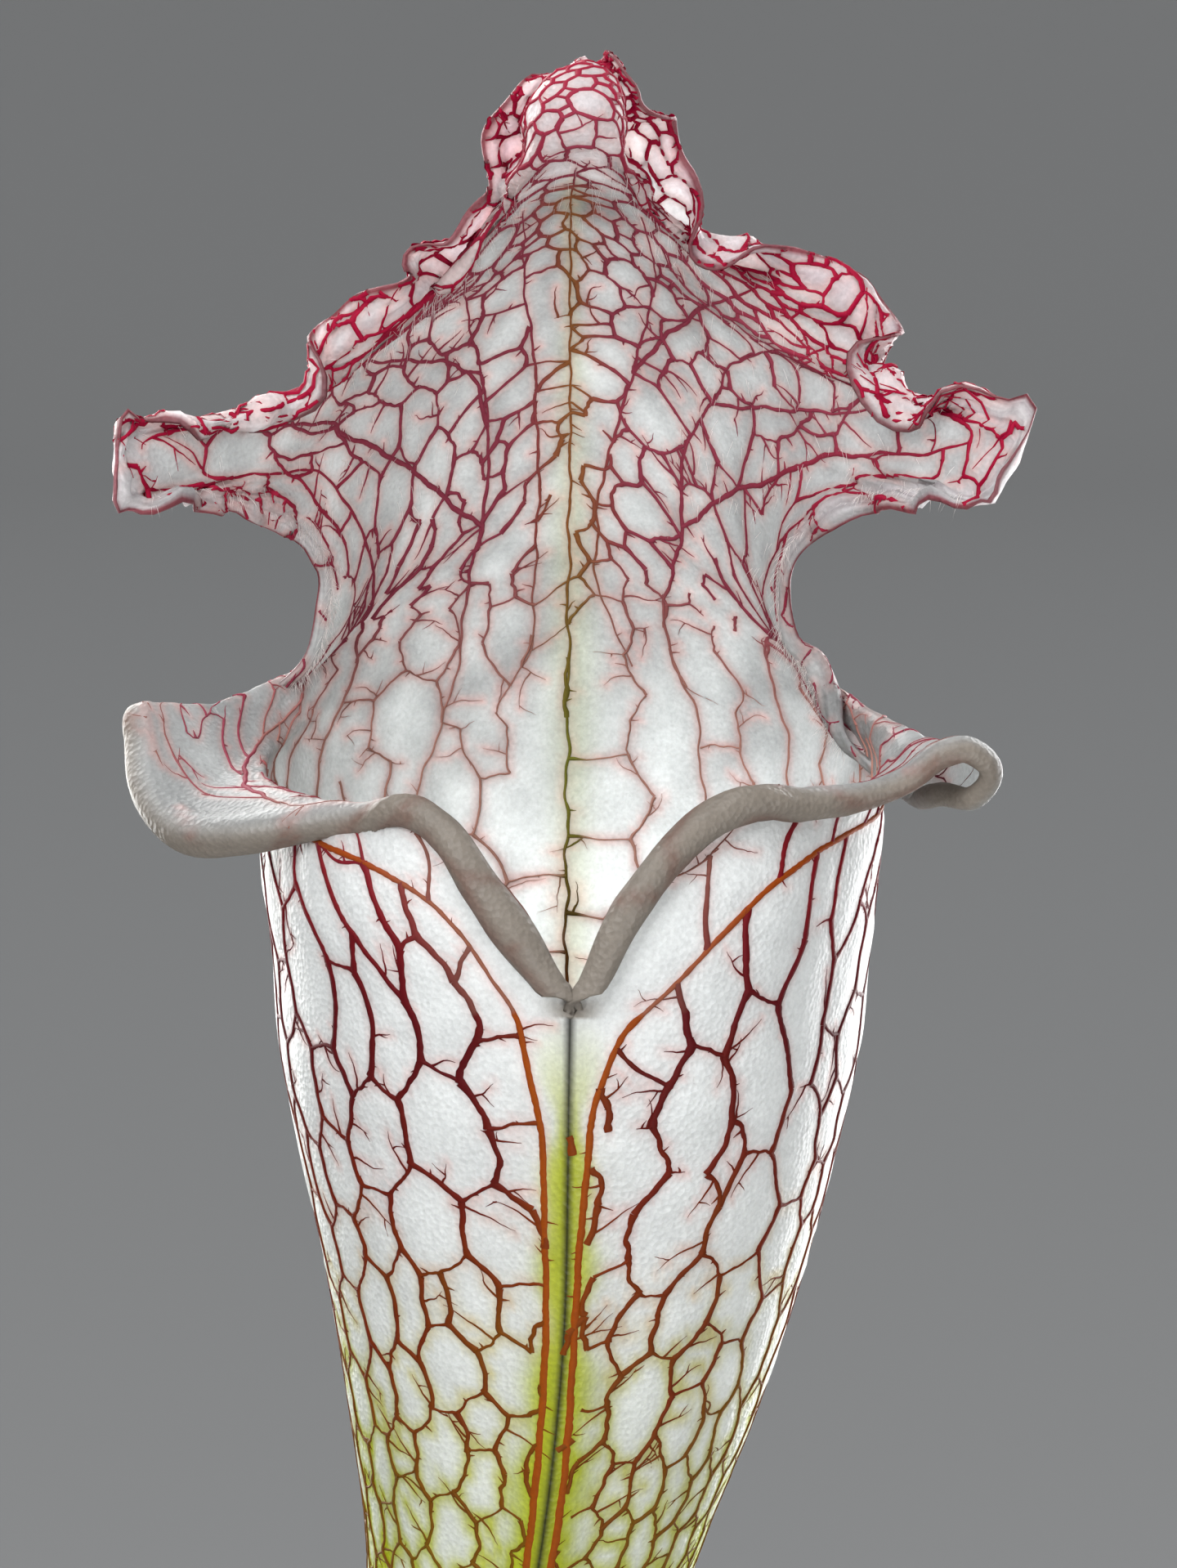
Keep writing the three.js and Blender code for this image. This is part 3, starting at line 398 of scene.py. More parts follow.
class Pitcher:
    """One pitcher's sheet on a grid. Rows go up the tube (h below 0, mm of height) and over the head (h from
    0 to 1); columns go from the left margin (-2 to -1) over the wall (-1 to 1) to the right margin (1 to 2).
    c is the place across, h the place up, and s the length up the wall (mm, 0 at the notch's height)."""

    def __init__(self, form, wall_columns, margin_steps, head_rows, tube_rows):
        self.form = form
        self.size = size = form["size"]
        half = wall_columns // 2
        inner = np.linspace(-1, 1, 2 * half + 1)
        inner = np.sign(inner) * (1 - (1 - np.abs(inner)) ** 1.06)
        self.first = margin_steps
        steps = np.linspace(0, 1, margin_steps + 1)[1:]
        self.c = np.concatenate([-1 - steps[::-1], inner, 1 + steps])
        share = np.linspace(0, 1, tube_rows + 1)[:-1]
        heights = form["foot"] * (1 - share) ** TUBE_POWER
        v = np.interp(np.linspace(0, 1, head_rows), np.linspace(0, 1, len(LEFT_RIM)), LEFT_RIM[:, 0])
        v[-1] = 0.9985
        self.tube_rows = tube_rows
        self.h = np.concatenate([heights, v])
        grid = np.zeros((len(self.h), len(self.c), 3))
        rows = through(form["tube"], heights)
        x, y, radius = rows.T
        deep, reach = radius * MOUTH_DEPTH / MOUTH_RADIUS, radius * 4 / 3
        sign = np.where(inner < 0, -1, 1)[None, :]
        t = np.abs(inner)[None, :, None]
        flat = np.zeros((len(heights), len(inner)))
        corners = [np.stack([x[:, None] + sign * wide[:, None], (y + back)[:, None] + flat,
                             heights[:, None] + flat], -1)
                   for wide, back in ((reach * 0, deep), (reach, deep), (reach, -deep), (reach * 0, -deep))]
        wall = slice(margin_steps, margin_steps + len(inner))
        grid[:tube_rows, wall] = bezier(*corners, t)
        grid[:tube_rows, :margin_steps] = grid[:tube_rows, margin_steps:margin_steps + 1]
        grid[:tube_rows, wall.stop:] = grid[:tube_rows, wall.stop - 1:wall.stop]
        grid[tube_rows:, wall] = head_points(v, inner) * size
        grid[tube_rows:, :margin_steps] = margin_points(v, margin_steps, -1)[:, :0:-1] * size
        grid[tube_rows:, wall.stop:] = margin_points(v, margin_steps, 1)[:, 1:] * size
        joint = slice(tube_rows - 9, tube_rows + 8)      # the tube runs into the head without a crease
        calm = (1 - smooth(np.abs(inner), 0.86, 0.99))[None, :, None]
        bell = np.sin(np.linspace(0, math.pi, 17)) ** 0.5
        below, above = (slice(joint.start + k, joint.stop + k) for k in (-1, 1))
        for _ in range(60):
            even = (grid[below, wall] + grid[above, wall]) / 2
            grid[joint, wall] = mix(grid[joint, wall], even, 0.5 * calm * bell[:, None, None])
        self.grid = grid
        self.measure(wall, half)
        self.normals = self.find_normals()

    def measure(self, wall, half):
        """Lengths in mm: of each row from the midrib to the rim and over the margin, and up the wall."""
        steps_across = np.linalg.norm(np.diff(self.grid, axis=1), axis=2)
        self.half = (steps_across[:, wall.start:wall.stop - 1].sum(1)) / 2
        self.margin = np.maximum(steps_across[:, wall.stop - 1:].sum(1), 0.05)
        middle = wall.start + half
        tracks = [middle, middle + half // 2, middle - half // 2]
        along = np.mean([np.linalg.norm(np.diff(self.grid[:, k], axis=0), axis=1) for k in tracks], axis=0)
        self.along = np.concatenate([[0], np.cumsum(along)])
        self.along -= self.along[self.tube_rows]

    def spot(self, c, s):
        """Row and column of the grid there, with their fractions."""
        return np.interp(s, self.along, np.arange(len(self.h))), np.interp(c, self.c, np.arange(len(self.c)))

    def point(self, c, s):
        """One point of the sheet."""
        row, column = self.spot(c, s)
        i, j = min(int(row), len(self.h) - 2), min(int(column), len(self.c) - 2)
        return between(self.grid, i, j, row - i, column - j)

    def find_normals(self):
        across, up = np.gradient(self.grid, axis=1), np.gradient(self.grid, axis=0)
        t, wall_end = self.tube_rows, len(self.c) - self.first - 1
        across[:t, self.first] = self.grid[:t, self.first + 1] - self.grid[:t, wall_end - 1]
        across[:t, wall_end] = across[:t, self.first]
        return unit(np.cross(up, across))

    def place(self, points):
        """Head frame to the plant's frame."""
        f = self.form
        cos, sin = math.cos(math.radians(f["turn"])), math.sin(math.radians(f["turn"]))
        turn = np.array([[cos, -sin, 0], [sin, cos, 0], [0, 0, 1]])
        lean = turn @ np.array([*f["lean"], 0.0])
        # the tip's frill stays below the leaf's full height
        points = points - np.maximum(points[..., 2:] - 70, 0) * np.array([0, 0, 0.18])
        return points @ turn.T + np.array([f["at"][0] - lean[0], f["at"][1] - lean[1], BASE_Z - f["foot"]])

    def half_at(self, s):
        return np.interp(s, self.along, self.half)

    def margin_at(self, s):
        return np.interp(s, self.along, self.margin)

    def column_of(self, u, s):
        """Column coordinate c of a distance u (mm) from the midrib, at the length s along."""
        half, size = self.half_at(s), np.abs(u)
        return np.sign(u) * np.where(size <= half, size / half, 1 + (size - half) / self.margin_at(s))

    def sample(self, c, s):
        """Points and normals (mm, head frame) at columns c and lengths s."""
        row, column = self.spot(c, s)
        i, j = np.clip(row.astype(int), 0, len(self.h) - 2), np.clip(column.astype(int), 0, len(self.c) - 2)
        a, b = (row - i)[:, None], (column - j)[:, None]
        return between(self.grid, i, j, a, b), unit(between(self.normals, i, j, a, b))


# ---- veins ----
# Main veins: (c, h) places from low to high, and how thick. c is 0 on the midrib and 1 at the rims.
KEEL_VEINS = [
    (2.0, [(-0.995, -380), (-0.99, -150), (-0.985, -43), (-0.98, -18), (-0.975, -8), (-0.96, -2), (-0.95, 0.03),
           (-0.945, 0.075), (-0.93, 0.1), (-0.88, 0.125), (-0.78, 0.146), (-0.66, 0.165)]),
    (2.0, [(0.995, -380), (0.99, -150), (0.985, -43), (0.985, -14), (0.975, -6), (0.955, -1.5), (0.925, 0.02),
           (0.885, 0.068), (0.84, 0.108), (0.77, 0.136), (0.66, 0.16), (0.56, 0.18)]),
]
HOOD_VEINS = [
    (0.6, [(-0.08, 0.24), (-0.05, 0.311),
           (-0.05, 0.415), (-0.06, 0.521), (-0.09, 0.621), (-0.1, 0.697), (-0.13, 0.804), (-0.2, 0.9)]),
    (0.8, [(-0.22, -40), (-0.2, 0.02), (-0.17, 0.142), (-0.14, 0.257), (-0.15, 0.401), (-0.18, 0.525),
           (-0.23, 0.633), (-0.26, 0.727), (-0.28, 0.79), (-0.42, 0.87)]),
    (0.9, [(-0.36, -20), (-0.34, 0.18), (-0.33, 0.32), (-0.36, 0.42), (-0.57, 0.549), (-0.76, 0.631),
           (-0.79, 0.671), (-0.8, 0.71), (-0.93, 0.74)]),
    (1.0, [(-0.18, 0.523), (-0.45, 0.629), (-0.6, 0.687), (-0.65, 0.721), (-0.66, 0.755), (-0.8, 0.79)]),
    (0.8, [(-0.23, 0.633), (-0.35, 0.729), (-0.55, 0.8), (-0.78, 0.85)]),
    (0.9, [(-0.95, 0.27), (-0.79, 0.301), (-0.56, 0.325), (-0.5, 0.39), (-0.6, 0.5), (-0.8, 0.58)]),
    (0.6, [(0.07, 0.3), (0.04, 0.373), (0.04, 0.475), (0.1, 0.595),
           (0.17, 0.679), (0.2, 0.747), (0.27, 0.85), (0.3, 0.9)]),
    (0.9, [(0.19, -40), (0.17, 0.02), (0.14, 0.16), (0.14, 0.232), (0.12, 0.349), (0.16, 0.457), (0.26, 0.555),
           (0.33, 0.631), (0.42, 0.695), (0.49, 0.786), (0.7, 0.83), (0.9, 0.86)]),
    (1.0, [(0.26, 0.555), (0.54, 0.645), (0.72, 0.689), (0.78, 0.735), (0.83, 0.765), (0.93, 0.785)]),
    (0.9, [(0.28, -20), (0.27, 0.188), (0.28, 0.279), (0.32, 0.417), (0.55, 0.53), (0.8, 0.629), (0.92, 0.66)]),
    (0.8, [(0.42, 0.695), (0.56, 0.729), (0.66, 0.766), (0.8, 0.8)]),
    (0.9, [(0.17, 0.679), (0.28, 0.758), (0.5, 0.85), (0.8, 0.89)]),
    (0.8, [(-0.005, -200), (-0.005, 0.0), (-0.004, 0.4), (-0.003, 0.7), (0.0, 0.93)]),
]


PLANE = 76.0                # half the width of the plane that the veins are laid out on


def along_of(sheet, h):
    return np.interp(h, sheet.h, sheet.along)


class Net:
    """The vein net of one sheet, laid out on a plane: u across it, the place between the rims (times PLANE),
    and r down it, the length s scaled alike and pressed together, so that round cells there are long ones on
    the leaf."""

    def __init__(self, sheet, seed, columns, hood_cell, edge_cell, mains):
        self.sheet, self.random = sheet, random.Random(seed)
        self.columns, self.hood_cell, self.edge_cell = columns, hood_cell, edge_cell
        s = np.linspace(sheet.along[0], sheet.along[-1], 1500)
        stretch = mix(1.85, 1.6, smooth(s, -12 * sheet.size, 10 * sheet.size))
        stretch = mix(stretch, 1.2, smooth(s, 26 * sheet.size, 48 * sheet.size))
        self.s_table = s
        pace = PLANE / sheet.half_at(s) / stretch
        self.r_table = np.concatenate([[0], np.cumsum(np.diff(s) * (pace[1:] + pace[:-1]) / 2)])
        self.mains = []
        for weight, places in mains:
            c, h = np.array(places).T
            s = along_of(sheet, h)
            r = np.interp(s, self.s_table, self.r_table)
            fine_r = np.linspace(r[0], r[-1], max(12, int((r[-1] - r[0]) / 0.4)))
            curve = through(np.stack([r, c], 1), fine_r)[:, 0] if len(r) > 2 else np.interp(fine_r, r, c)
            self.mains.append((weight, np.stack([np.clip(curve, -1, 1) * PLANE, fine_r], 1)))
        self.lines = []             # each: places (u, s), widths, whether it flanks the keel
        self.build()

    def s_of(self, r):
        return float(np.interp(r, self.r_table, self.s_table))

    def on_leaf(self, plane):
        """Places (u, s) in mm on the leaf, from places (u, r) on the plane."""
        s = np.interp(plane[:, 1], self.r_table, self.s_table)
        return np.stack([plane[:, 0] * self.sheet.half_at(s) / PLANE, s], 1)

    def limit(self, s):
        """Where the plane ends sideways: the seam of the tube, or the edge of the margin."""
        sheet = self.sheet
        return PLANE * (1 + (sheet.margin_at(s) / sheet.half_at(s) if s > 0 else 0))

    def cell(self, u, s):
        """Size of a cell on the plane there."""
        sheet = self.sheet
        half = sheet.half_at(s)
        u = u * half / PLANE
        tube = np.maximum(2 * half / self.columns, 1.1 * sheet.size)
        inside = half - abs(u)
        hood = mix(self.edge_cell, self.hood_cell, smooth(inside, 0, 15 * sheet.size))
        high = smooth(s, 20 * sheet.size, 45 * sheet.size)
        head = mix(self.hood_cell, hood, high) * mix(1, 1.1, smooth(s, 76 * sheet.size, 88 * sheet.size))
        return float(mix(tube, head, smooth(s, -8 * sheet.size, 14 * sheet.size)) * PLANE / half)

    def build(self):
        self.link(*self.scatter())
        for index, (weight, line) in enumerate(self.mains):
            self.main(weight, line, index < 2)

    def scatter(self):
        """The cells' middles, in pairs along the main veins and evenly spread between them, with the main vein
        and the side of it that a pair's two belong to."""
        sheet, draw = self.sheet, self.random
        seeds, spots, marks, bins = [], [], [], {}
        bin_size = 3.0

        def spot(u, r):             # in the head, spacing is measured on the sheet itself
            s = self.s_of(r)
            if s < 12 * sheet.size:
                return None
            half = sheet.half_at(s)
            return sheet.point(sheet.column_of(u * half / PLANE, s), s) * PLANE / half

        def near(u, r, least):
            here = spot(u, r)
            reach = int(least * (1 if here is None else 2) / bin_size) + 1
            i, j = int(u // bin_size), int(r // bin_size)
            for a in range(i - reach, i + reach + 1):
                for b in range(j - reach, j + reach + 1):
                    for k in bins.get((a, b), ()):
                        if here is not None and spots[k] is not None:
                            gap = here - spots[k]
                            if gap @ gap < least * least:
                                return True
                        elif (seeds[k][0] - u) ** 2 + (seeds[k][1] - r) ** 2 < least * least:
                            return True
            return False

        def add(u, r, mark):
            bins.setdefault((int(u // bin_size), int(r // bin_size)), []).append(len(seeds))
            seeds.append((u, r))
            spots.append(spot(u, r))
            marks.append(mark)

        for index, (_, line) in enumerate(self.mains):
            place = 0.0
            lengths = np.concatenate([[0], np.cumsum(np.hypot(*np.diff(line, axis=0).T))])
            while place < lengths[-1]:
                u = float(np.interp(place, lengths, line[:, 0]))
                r = float(np.interp(place, lengths, line[:, 1]))
                k = min(len(line) - 2, max(0, int(np.searchsorted(lengths, place)) - 1))
                du, dr = line[k + 1] - line[k]
                length = math.hypot(du, dr) + 1e-9
                size = self.cell(u, self.s_of(r))
                gap = size * draw.uniform(0.38, 0.5)
                for side in (-1, 1):
                    a = u + side * gap * dr / length + draw.uniform(-0.12, 0.12) * size
                    b = r - side * gap * du / length + (0.5 if side > 0 else 0) * size * 0.8
                    if not near(a, b, 0.5 * size):
                        add(a, b, (index, side))
                place += size * draw.uniform(0.8, 1.15)
        low, high = self.r_table[0], self.r_table[-1]
        widest = PLANE * float((1 + sheet.margin / sheet.half).max())
        misses = 0
        while misses < 5200:
            r = draw.uniform(low, high)
            s = self.s_of(r)
            u = draw.uniform(-widest, widest)
            if abs(u) > self.limit(s):
                continue
            size = self.cell(u, s) * draw.uniform(0.72, 1.0)
            if near(u, r, size):
                misses += 1
            else:
                add(u, r, None)
                misses = max(0, misses - 40)
        for u, r in list(seeds):    # beyond the tube's seam and the rims the net goes on, mirrored
            s = self.s_of(r)
            limit = self.limit(s)
            if limit - abs(u) < 1.3 * self.cell(u, s):
                seeds.append((math.copysign(2 * limit - abs(u), u), r))
                marks.append(None)
        return seeds, marks

    def link(self, seeds, marks):
        """Veins between the cells: they run from joint to joint of the triangles between the cells' middles."""
        draw = self.random
        result = geometry.delaunay_2d_cdt([Vector(p) for p in seeds], [], [], 0, 1e-7)
        plane = np.array([tuple(p) for p in result[0]])
        marks = [marks[origins[0]] if origins else None for origins in result[3]]
        joints, owners = [], {}
        for index, face in enumerate(result[2]):
            middle = plane[list(face)].mean(0)
            sides = {}
            for corner in face:
                if marks[corner]:
                    main, side = marks[corner]
                    sides.setdefault(main, set()).add(side)
            for main, both in sides.items():
                if len(both) == 2:                   # a joint on a main vein is drawn onto its line
                    line = self.mains[main][1]
                    nearest = line[np.argmin(((line - middle) ** 2).sum(1))]
                    middle = mix(middle, nearest, 0.97)
            joints.append(middle)
            for a, b in zip(face, face[1:] + face[:1]):
                owners.setdefault((min(a, b), max(a, b)), []).append(index)
        for (a, b), pair in owners.items():
            if len(pair) != 2:
                continue
            first, last = joints[pair[0]], joints[pair[1]]
            if marks[a] and marks[b] and marks[a][0] == marks[b][0] and marks[a][1] != marks[b][1]:
                continue                                 # it lies on a main vein
            middle = (first + last) / 2
            s = self.s_of(middle[1])
            if abs(middle[0]) > 0.972 * PLANE and s < 2 and draw.random() < 0.75:
                continue
            if s < 4 and draw.random() < 0.85:           # little runs between the keel and its flanks
                flank = self.mains[0 if middle[0] < 0 else 1][1]
                reach = abs(np.interp(middle[1], flank[:, 1], flank[:, 0]))
                if abs(middle[0]) > reach + 0.2:
                    continue
            self.edge(first, last)

    def inside(self, u, s):
        sheet = self.sheet
        limit = sheet.half_at(s) + np.where(s > 0, sheet.margin_at(s) - 0.1, 0.0)
        return (np.abs(u) <= limit) & (s > sheet.along[0] + 6) & (s < sheet.along[-1] - 0.4)

    def main(self, weight, line, flank):
        """A main vein: one smooth line with a slight wander, thinner towards its end."""
        draw, sheet = self.random, self.sheet
        path = self.on_leaf(line)
        length = np.concatenate([[0], np.cumsum(np.hypot(*np.diff(path, axis=0).T))])
        even = np.linspace(0, length[-1], max(8, int(length[-1] / 0.4)))
        path = np.stack([np.interp(even, length, path[:, k]) for k in (0, 1)], 1)
        side = unit(np.gradient(path, axis=0))[:, ::-1] * np.array([-1, 1])
        phase = draw.uniform(0, 9)
        wander = 0.14 * np.sin(even * 0.9 + phase) + 0.06 * np.sin(even * 2.3 + phase * 2)
        wander = wander * (0.15 if flank else 1)
        path = path + side * (wander * np.minimum(1, sheet.half_at(path[:, 1]) / 60))[:, None]
        most = np.where(path[:, 1] < 0, sheet.half_at(path[:, 1]) - 0.12, 1e3)
        path[:, 0] = np.clip(path[:, 0], -most, most)
        size = sheet.size ** 0.7
        width = 0.5 * weight * size * (1 - 0.45 * smooth(even / length[-1], 0.55, 1.0))
        width = width * mix(1.0, 0.6, smooth(-path[:, 1], 90, 250))
        width = width * np.array([draw.uniform(0.86, 1.14) for _ in even])
        self.add_line(path, width, flank)
        for _ in range(int(length[-1] * 0.18)):
            k = draw.randrange(2, len(path) - 2)
            if path[k, 1] > -120 * sheet.size:
                self.spur(path[k - 1:k + 2], draw.uniform(0.35, 1.0) * size, 0.26 * size)

    def edge(self, first, last):
        draw, sheet = self.random, self.sheet
        ends = self.on_leaf(np.array([first, last]))
        middle_u, middle_s = ends.mean(0)
        length = math.hypot(*(ends[1] - ends[0]))
        if length < 0.25 or length > 30:
            return
        lengthways = abs(ends[1, 1] - ends[0, 1]) / length
        fine = middle_s > -135 * sheet.size
        count = max(3, int(length / ((0.38 if fine else 1.1) * max(sheet.size, 0.8))) + 1)
        t = np.linspace(0, 1, count)
        path = self.on_leaf(first + (last - first) * t[:, None])
        side = np.array([-(ends[1] - ends[0])[1], (ends[1] - ends[0])[0]]) / length
        bow = draw.uniform(-0.09, 0.09) * length
        wander = np.zeros(count)
        for wave in (1, 2, 3, 5):
            wander += draw.uniform(-1, 1) * np.sin(math.pi * wave * t) * 0.11 / wave ** 0.4
        path = path + side * (bow * np.sin(math.pi * t) + wander * min(1, length / 3))[:, None]
        size = sheet.size ** 0.7
        k, out = middle_s / sheet.size, abs(middle_u)
        half = float(sheet.half_at(middle_s))
        # how thick: after its direction and its cell, then after the part of the leaf that it is on
        base = mix(0.36, 0.66, smooth(lengthways, 0.45, 0.9))
        cell = self.cell(float(middle_u) * PLANE / half, float(middle_s)) * half / PLANE
        base *= float(np.clip(cell / (4.2 * sheet.size), 0.5, 1.06))
        neck = float(smooth(k, 12, 22) * (1 - smooth(k, 44, 56)))
        base = mix(base, draw.uniform(0.18, 0.38), float(smooth(k, 2, 22)) * 0.85)
        base *= 1 - 0.4 * neck * float(smooth(out / half, 0.6, 0.85))
        base = mix(base, draw.uniform(0.24, 0.42),
                   float(smooth(k, 42, 62) * smooth(-(half - out) / sheet.size, -7, -1)))
        low_hood = float(smooth(k, 4, 12) * (1 - smooth(k, 36, 52)))
        if lengthways < 0.6 and draw.random() < 0.45 * low_hood * float(1 - smooth(out / half, 0.5, 0.8)):
            return
        if lengthways > 0.5 and draw.random() < 0.4 * neck * float(smooth(out / half, 0.55, 0.75)):
            return
        if lengthways < 0.6 and length > 2.2 * size and draw.random() < 0.12 + 0.45 * low_hood:
            keep = draw.uniform(0.35, 0.75)              # a veinlet that ends free in its cell
            t_cut = t <= keep if draw.random() < 0.5 else t >= 1 - keep
            path, t_end = path[t_cut], (t[t_cut] - t[t_cut].min()) / keep
            if t_cut[-1] and not t_cut[0]:
                t_end = 1 - t_end
            width = base * (1 - 0.75 * t_end) * 0.9
        else:                                            # it widens where it meets others
            flare = np.exp(-(t * length / 0.55) ** 2) + np.exp(-((1 - t) * length / 0.55) ** 2)
            width = base * (1 + 0.38 * flare)
        if len(path) < 2:
            return
        width = width * size * np.array([draw.uniform(0.84, 1.16) for _ in range(len(path))])
        self.add_line(path, width)
        if fine:
            spurs = length * (0.2 if lengthways > 0.5 else 0.12)
            for _ in range(int(spurs + draw.random())):
                self.spur(path, draw.uniform(0.25, 0.8) * size, draw.uniform(0.26, 0.4) * size)
            if length > 2.4 * size and draw.random() < 0.5:
                self.spur(path, draw.uniform(1.8, 3.8) * size, 0.3 * size, True)

    def spur(self, path, length, width, forks=False):
        draw = self.random
        k = draw.randrange(1, len(path) - 1) if len(path) > 2 else 0
        along = path[min(k + 1, len(path) - 1)] - path[max(k - 1, 0)]
        angle = math.atan2(along[1], along[0]) + draw.choice((-1, 1)) * draw.uniform(0.7, 1.6)
        steps = max(3, int(length / 0.3))
        line = [path[k]]
        for _ in range(steps):
            angle += draw.uniform(-0.35, 0.35)
            line.append(line[-1] + length / steps * np.array([math.cos(angle), math.sin(angle)]))
        line = np.array(line)
        self.add_line(line, width * (1 - 0.8 * np.linspace(0, 1, len(line))))
        if forks and draw.random() < 0.7:
            self.spur(line, length * 0.45, width * 0.7)

    def add_line(self, path, width, flank=False):
        """Keeps the stretch of a line that lies on the sheet."""
        out = np.nonzero(~self.inside(path[:, 0], path[:, 1]))[0]
        if len(out):
            stops = np.concatenate([[-1], out, [len(path)]])
            k = int(np.argmax(np.diff(stops)))
            path, width = path[stops[k] + 1:stops[k + 1]], width[stops[k] + 1:stops[k + 1]]
        if len(path) > 1:
            self.lines.append((path, width, flank))


# ---- colours over a pitcher ----
WHITE = linear(243, 246, 246)
PINK = linear(240, 190, 206)
LIME = linear(198, 208, 22)
LEAF_GREEN = linear(112, 130, 48)
LIP, LIP_VEIN, KEEL_LINE = linear(152, 142, 130), linear(128, 92, 78), linear(22, 18, 4)
ROSE = linear(142, 56, 74)
CRIMSON = linear(150, 4, 46)
DARK_RED = linear(112, 12, 22)
RED_BROWN = linear(146, 42, 6)
ORANGE_BROWN = linear(176, 82, 8)


def places(sheet, c, s):
    """Values that the colours depend on: height in head sizes; how near the keel, the midrib and the rim are
    (in head sizes); how far up the hood."""
    k, reach = s / sheet.size, sheet.half_at(s)
    rim = reach * (1 - np.abs(c)) / sheet.size
    return k, np.where(k < 4, rim, 99.0), reach * np.abs(c) / sheet.size, rim, smooth(k, 42, 62)


def sheet_tint(sheet, c, s, inner, distance, seed=31):
    """Colours of the sheet's points; distance is how far (mm) each is from a vein."""
    k, keel, rib, rim, high = places(sheet, c, s)
    across = c * sheet.half_at(s)
    col = np.repeat(WHITE[None], len(c), 0)
    wave = ripple(across * 0.12, s * 0.07, seed)
    tip = smooth(k, 77, 84)
    if inner:                                # painted shade: the inside face is darkened as if in the shade, the hood's inside most, and more in a pocket under the tip
        mottle = ripple(across * 0.45, s * 0.4, seed + 3) + 0.7 * ripple(across, s, seed + 4)
        shade = mix(mix(0.49, 0.8, smooth(-k, -26, 2)), 0.9, tip)
        # painted shade: a darker patch in the pocket under the tip, near the midrib
        pocket_shade = 0.4 * np.exp(-((k - 74.5) / 2.5) ** 2 - (rib / 6) ** 2)
        col = col * (shade * (1 - pocket_shade) * (1 + 0.16 * mottle * smooth(k, 0, 20)))[:, None]
    pink = 0.12 * tip + high * smooth(-rim, -4, 2) * 0.1 + high * 0.03 * (not inner)
    col = toward(col, PINK, np.clip(pink * (1 + 0.6 * wave), 0, 0.8))
    halo = np.exp(-(distance / (0.42 * sheet.size)) ** 2) * mix(0.45, 0.35, smooth(k, 0, 14))
    col = toward(col, toward(linear(238, 170, 160), linear(206, 196, 90), smooth(-k, 20, 80)), halo)
    rib_glow = np.exp(-(rib / mix(1.3, 0.8, smooth(k, 10, 90))) ** 2) * smooth(k, -30, 0) * (1 - tip)
    col = toward(col, linear(186, 194, 150), 0.3 * rib_glow)
    keel_wave = 1 + 0.5 * ripple(c * 0, s * 0.6, seed + 1, 2)
    glow = np.exp(-(keel / (1.5 * keel_wave + smooth(-k, 10, 90) * 2.4)) ** 4) * smooth(-k, -1, 12)
    col = toward(col, LIME, 0.95 * glow)
    down = -k + 10 * wave
    lower, low_veins = smooth(down, 12, 96), smooth(down, 12, 52)
    side = (1 - smooth(np.abs(np.abs(c) - 0.55), 0.02, 0.2)) * smooth(-k, 6, 60)
    near = np.exp(-(distance / (0.6 * sheet.size)) ** 2)
    col = toward(col, linear(170, 190, 72), lower * (0.06 + 0.4 * lower))
    green = 0.9 * near * low_veins * (1 - 0.6 * smooth(-k, 60, 120)) + side * (0.1 + 0.6 * near)
    col = toward(col, LIME, np.clip(green, 0, 1))
    return toward(col, LEAF_GREEN, smooth(down, 110, 230))


def vein_tint(sheet, c, s, seed=17):
    k, keel, rib, rim, high = places(sheet, c, s)
    wave = ripple(c * sheet.half_at(s) * 0.3, s * 0.2, seed)
    gold = np.exp(-(rib / 2.2) ** 2) * smooth(k, -20, 20) * (1 - smooth(k, 74, 82))
    golden = toward(linear(122, 136, 50), linear(140, 92, 40), smooth(k, 12, 34))
    orange = np.exp(-(keel / 3.2) ** 2) * smooth(-k, -6, 6)
    col = DARK_RED
    for colour, amount in ((RED_BROWN, smooth(-k + 6 * wave, 0, 24)), (ROSE, smooth(k + 4 * wave, 8, 30)),
                           (CRIMSON, np.clip(high * smooth(-rim, -14, -1), 0, 1)), (golden, 0.85 * gold),
                           (ORANGE_BROWN, 0.85 * orange),
                           (mix(ORANGE_BROWN, RED_BROWN, 0.5), smooth(-k + 8 * wave, 16, 60)),
                           (linear(150, 106, 8), smooth(-k + 10 * wave, 16, 60)),
                           (linear(96, 52, 30), smooth(-k, 200, 300))):
        col = toward(col, colour, amount)
    return col * mix(0.9, 0.42, smooth(-k, -12, 4))[:, None]


# ---- the pitcher's pieces ----
def vein_distances(sheet, net):
    """How far (mm) each point of the sheet is from a vein."""
    u, s = np.concatenate([path for path, width, _ in net.lines if width.max() > 0.24 * sheet.size]).T
    spread, _ = sheet.sample(sheet.column_of(u, s), s)
    tree = kdtree.KDTree(len(spread))
    for index, point in enumerate(spread):
        tree.insert(point, index)
    tree.balance()
    return np.array([tree.find(point)[2] for point in sheet.grid.reshape(-1, 3)])


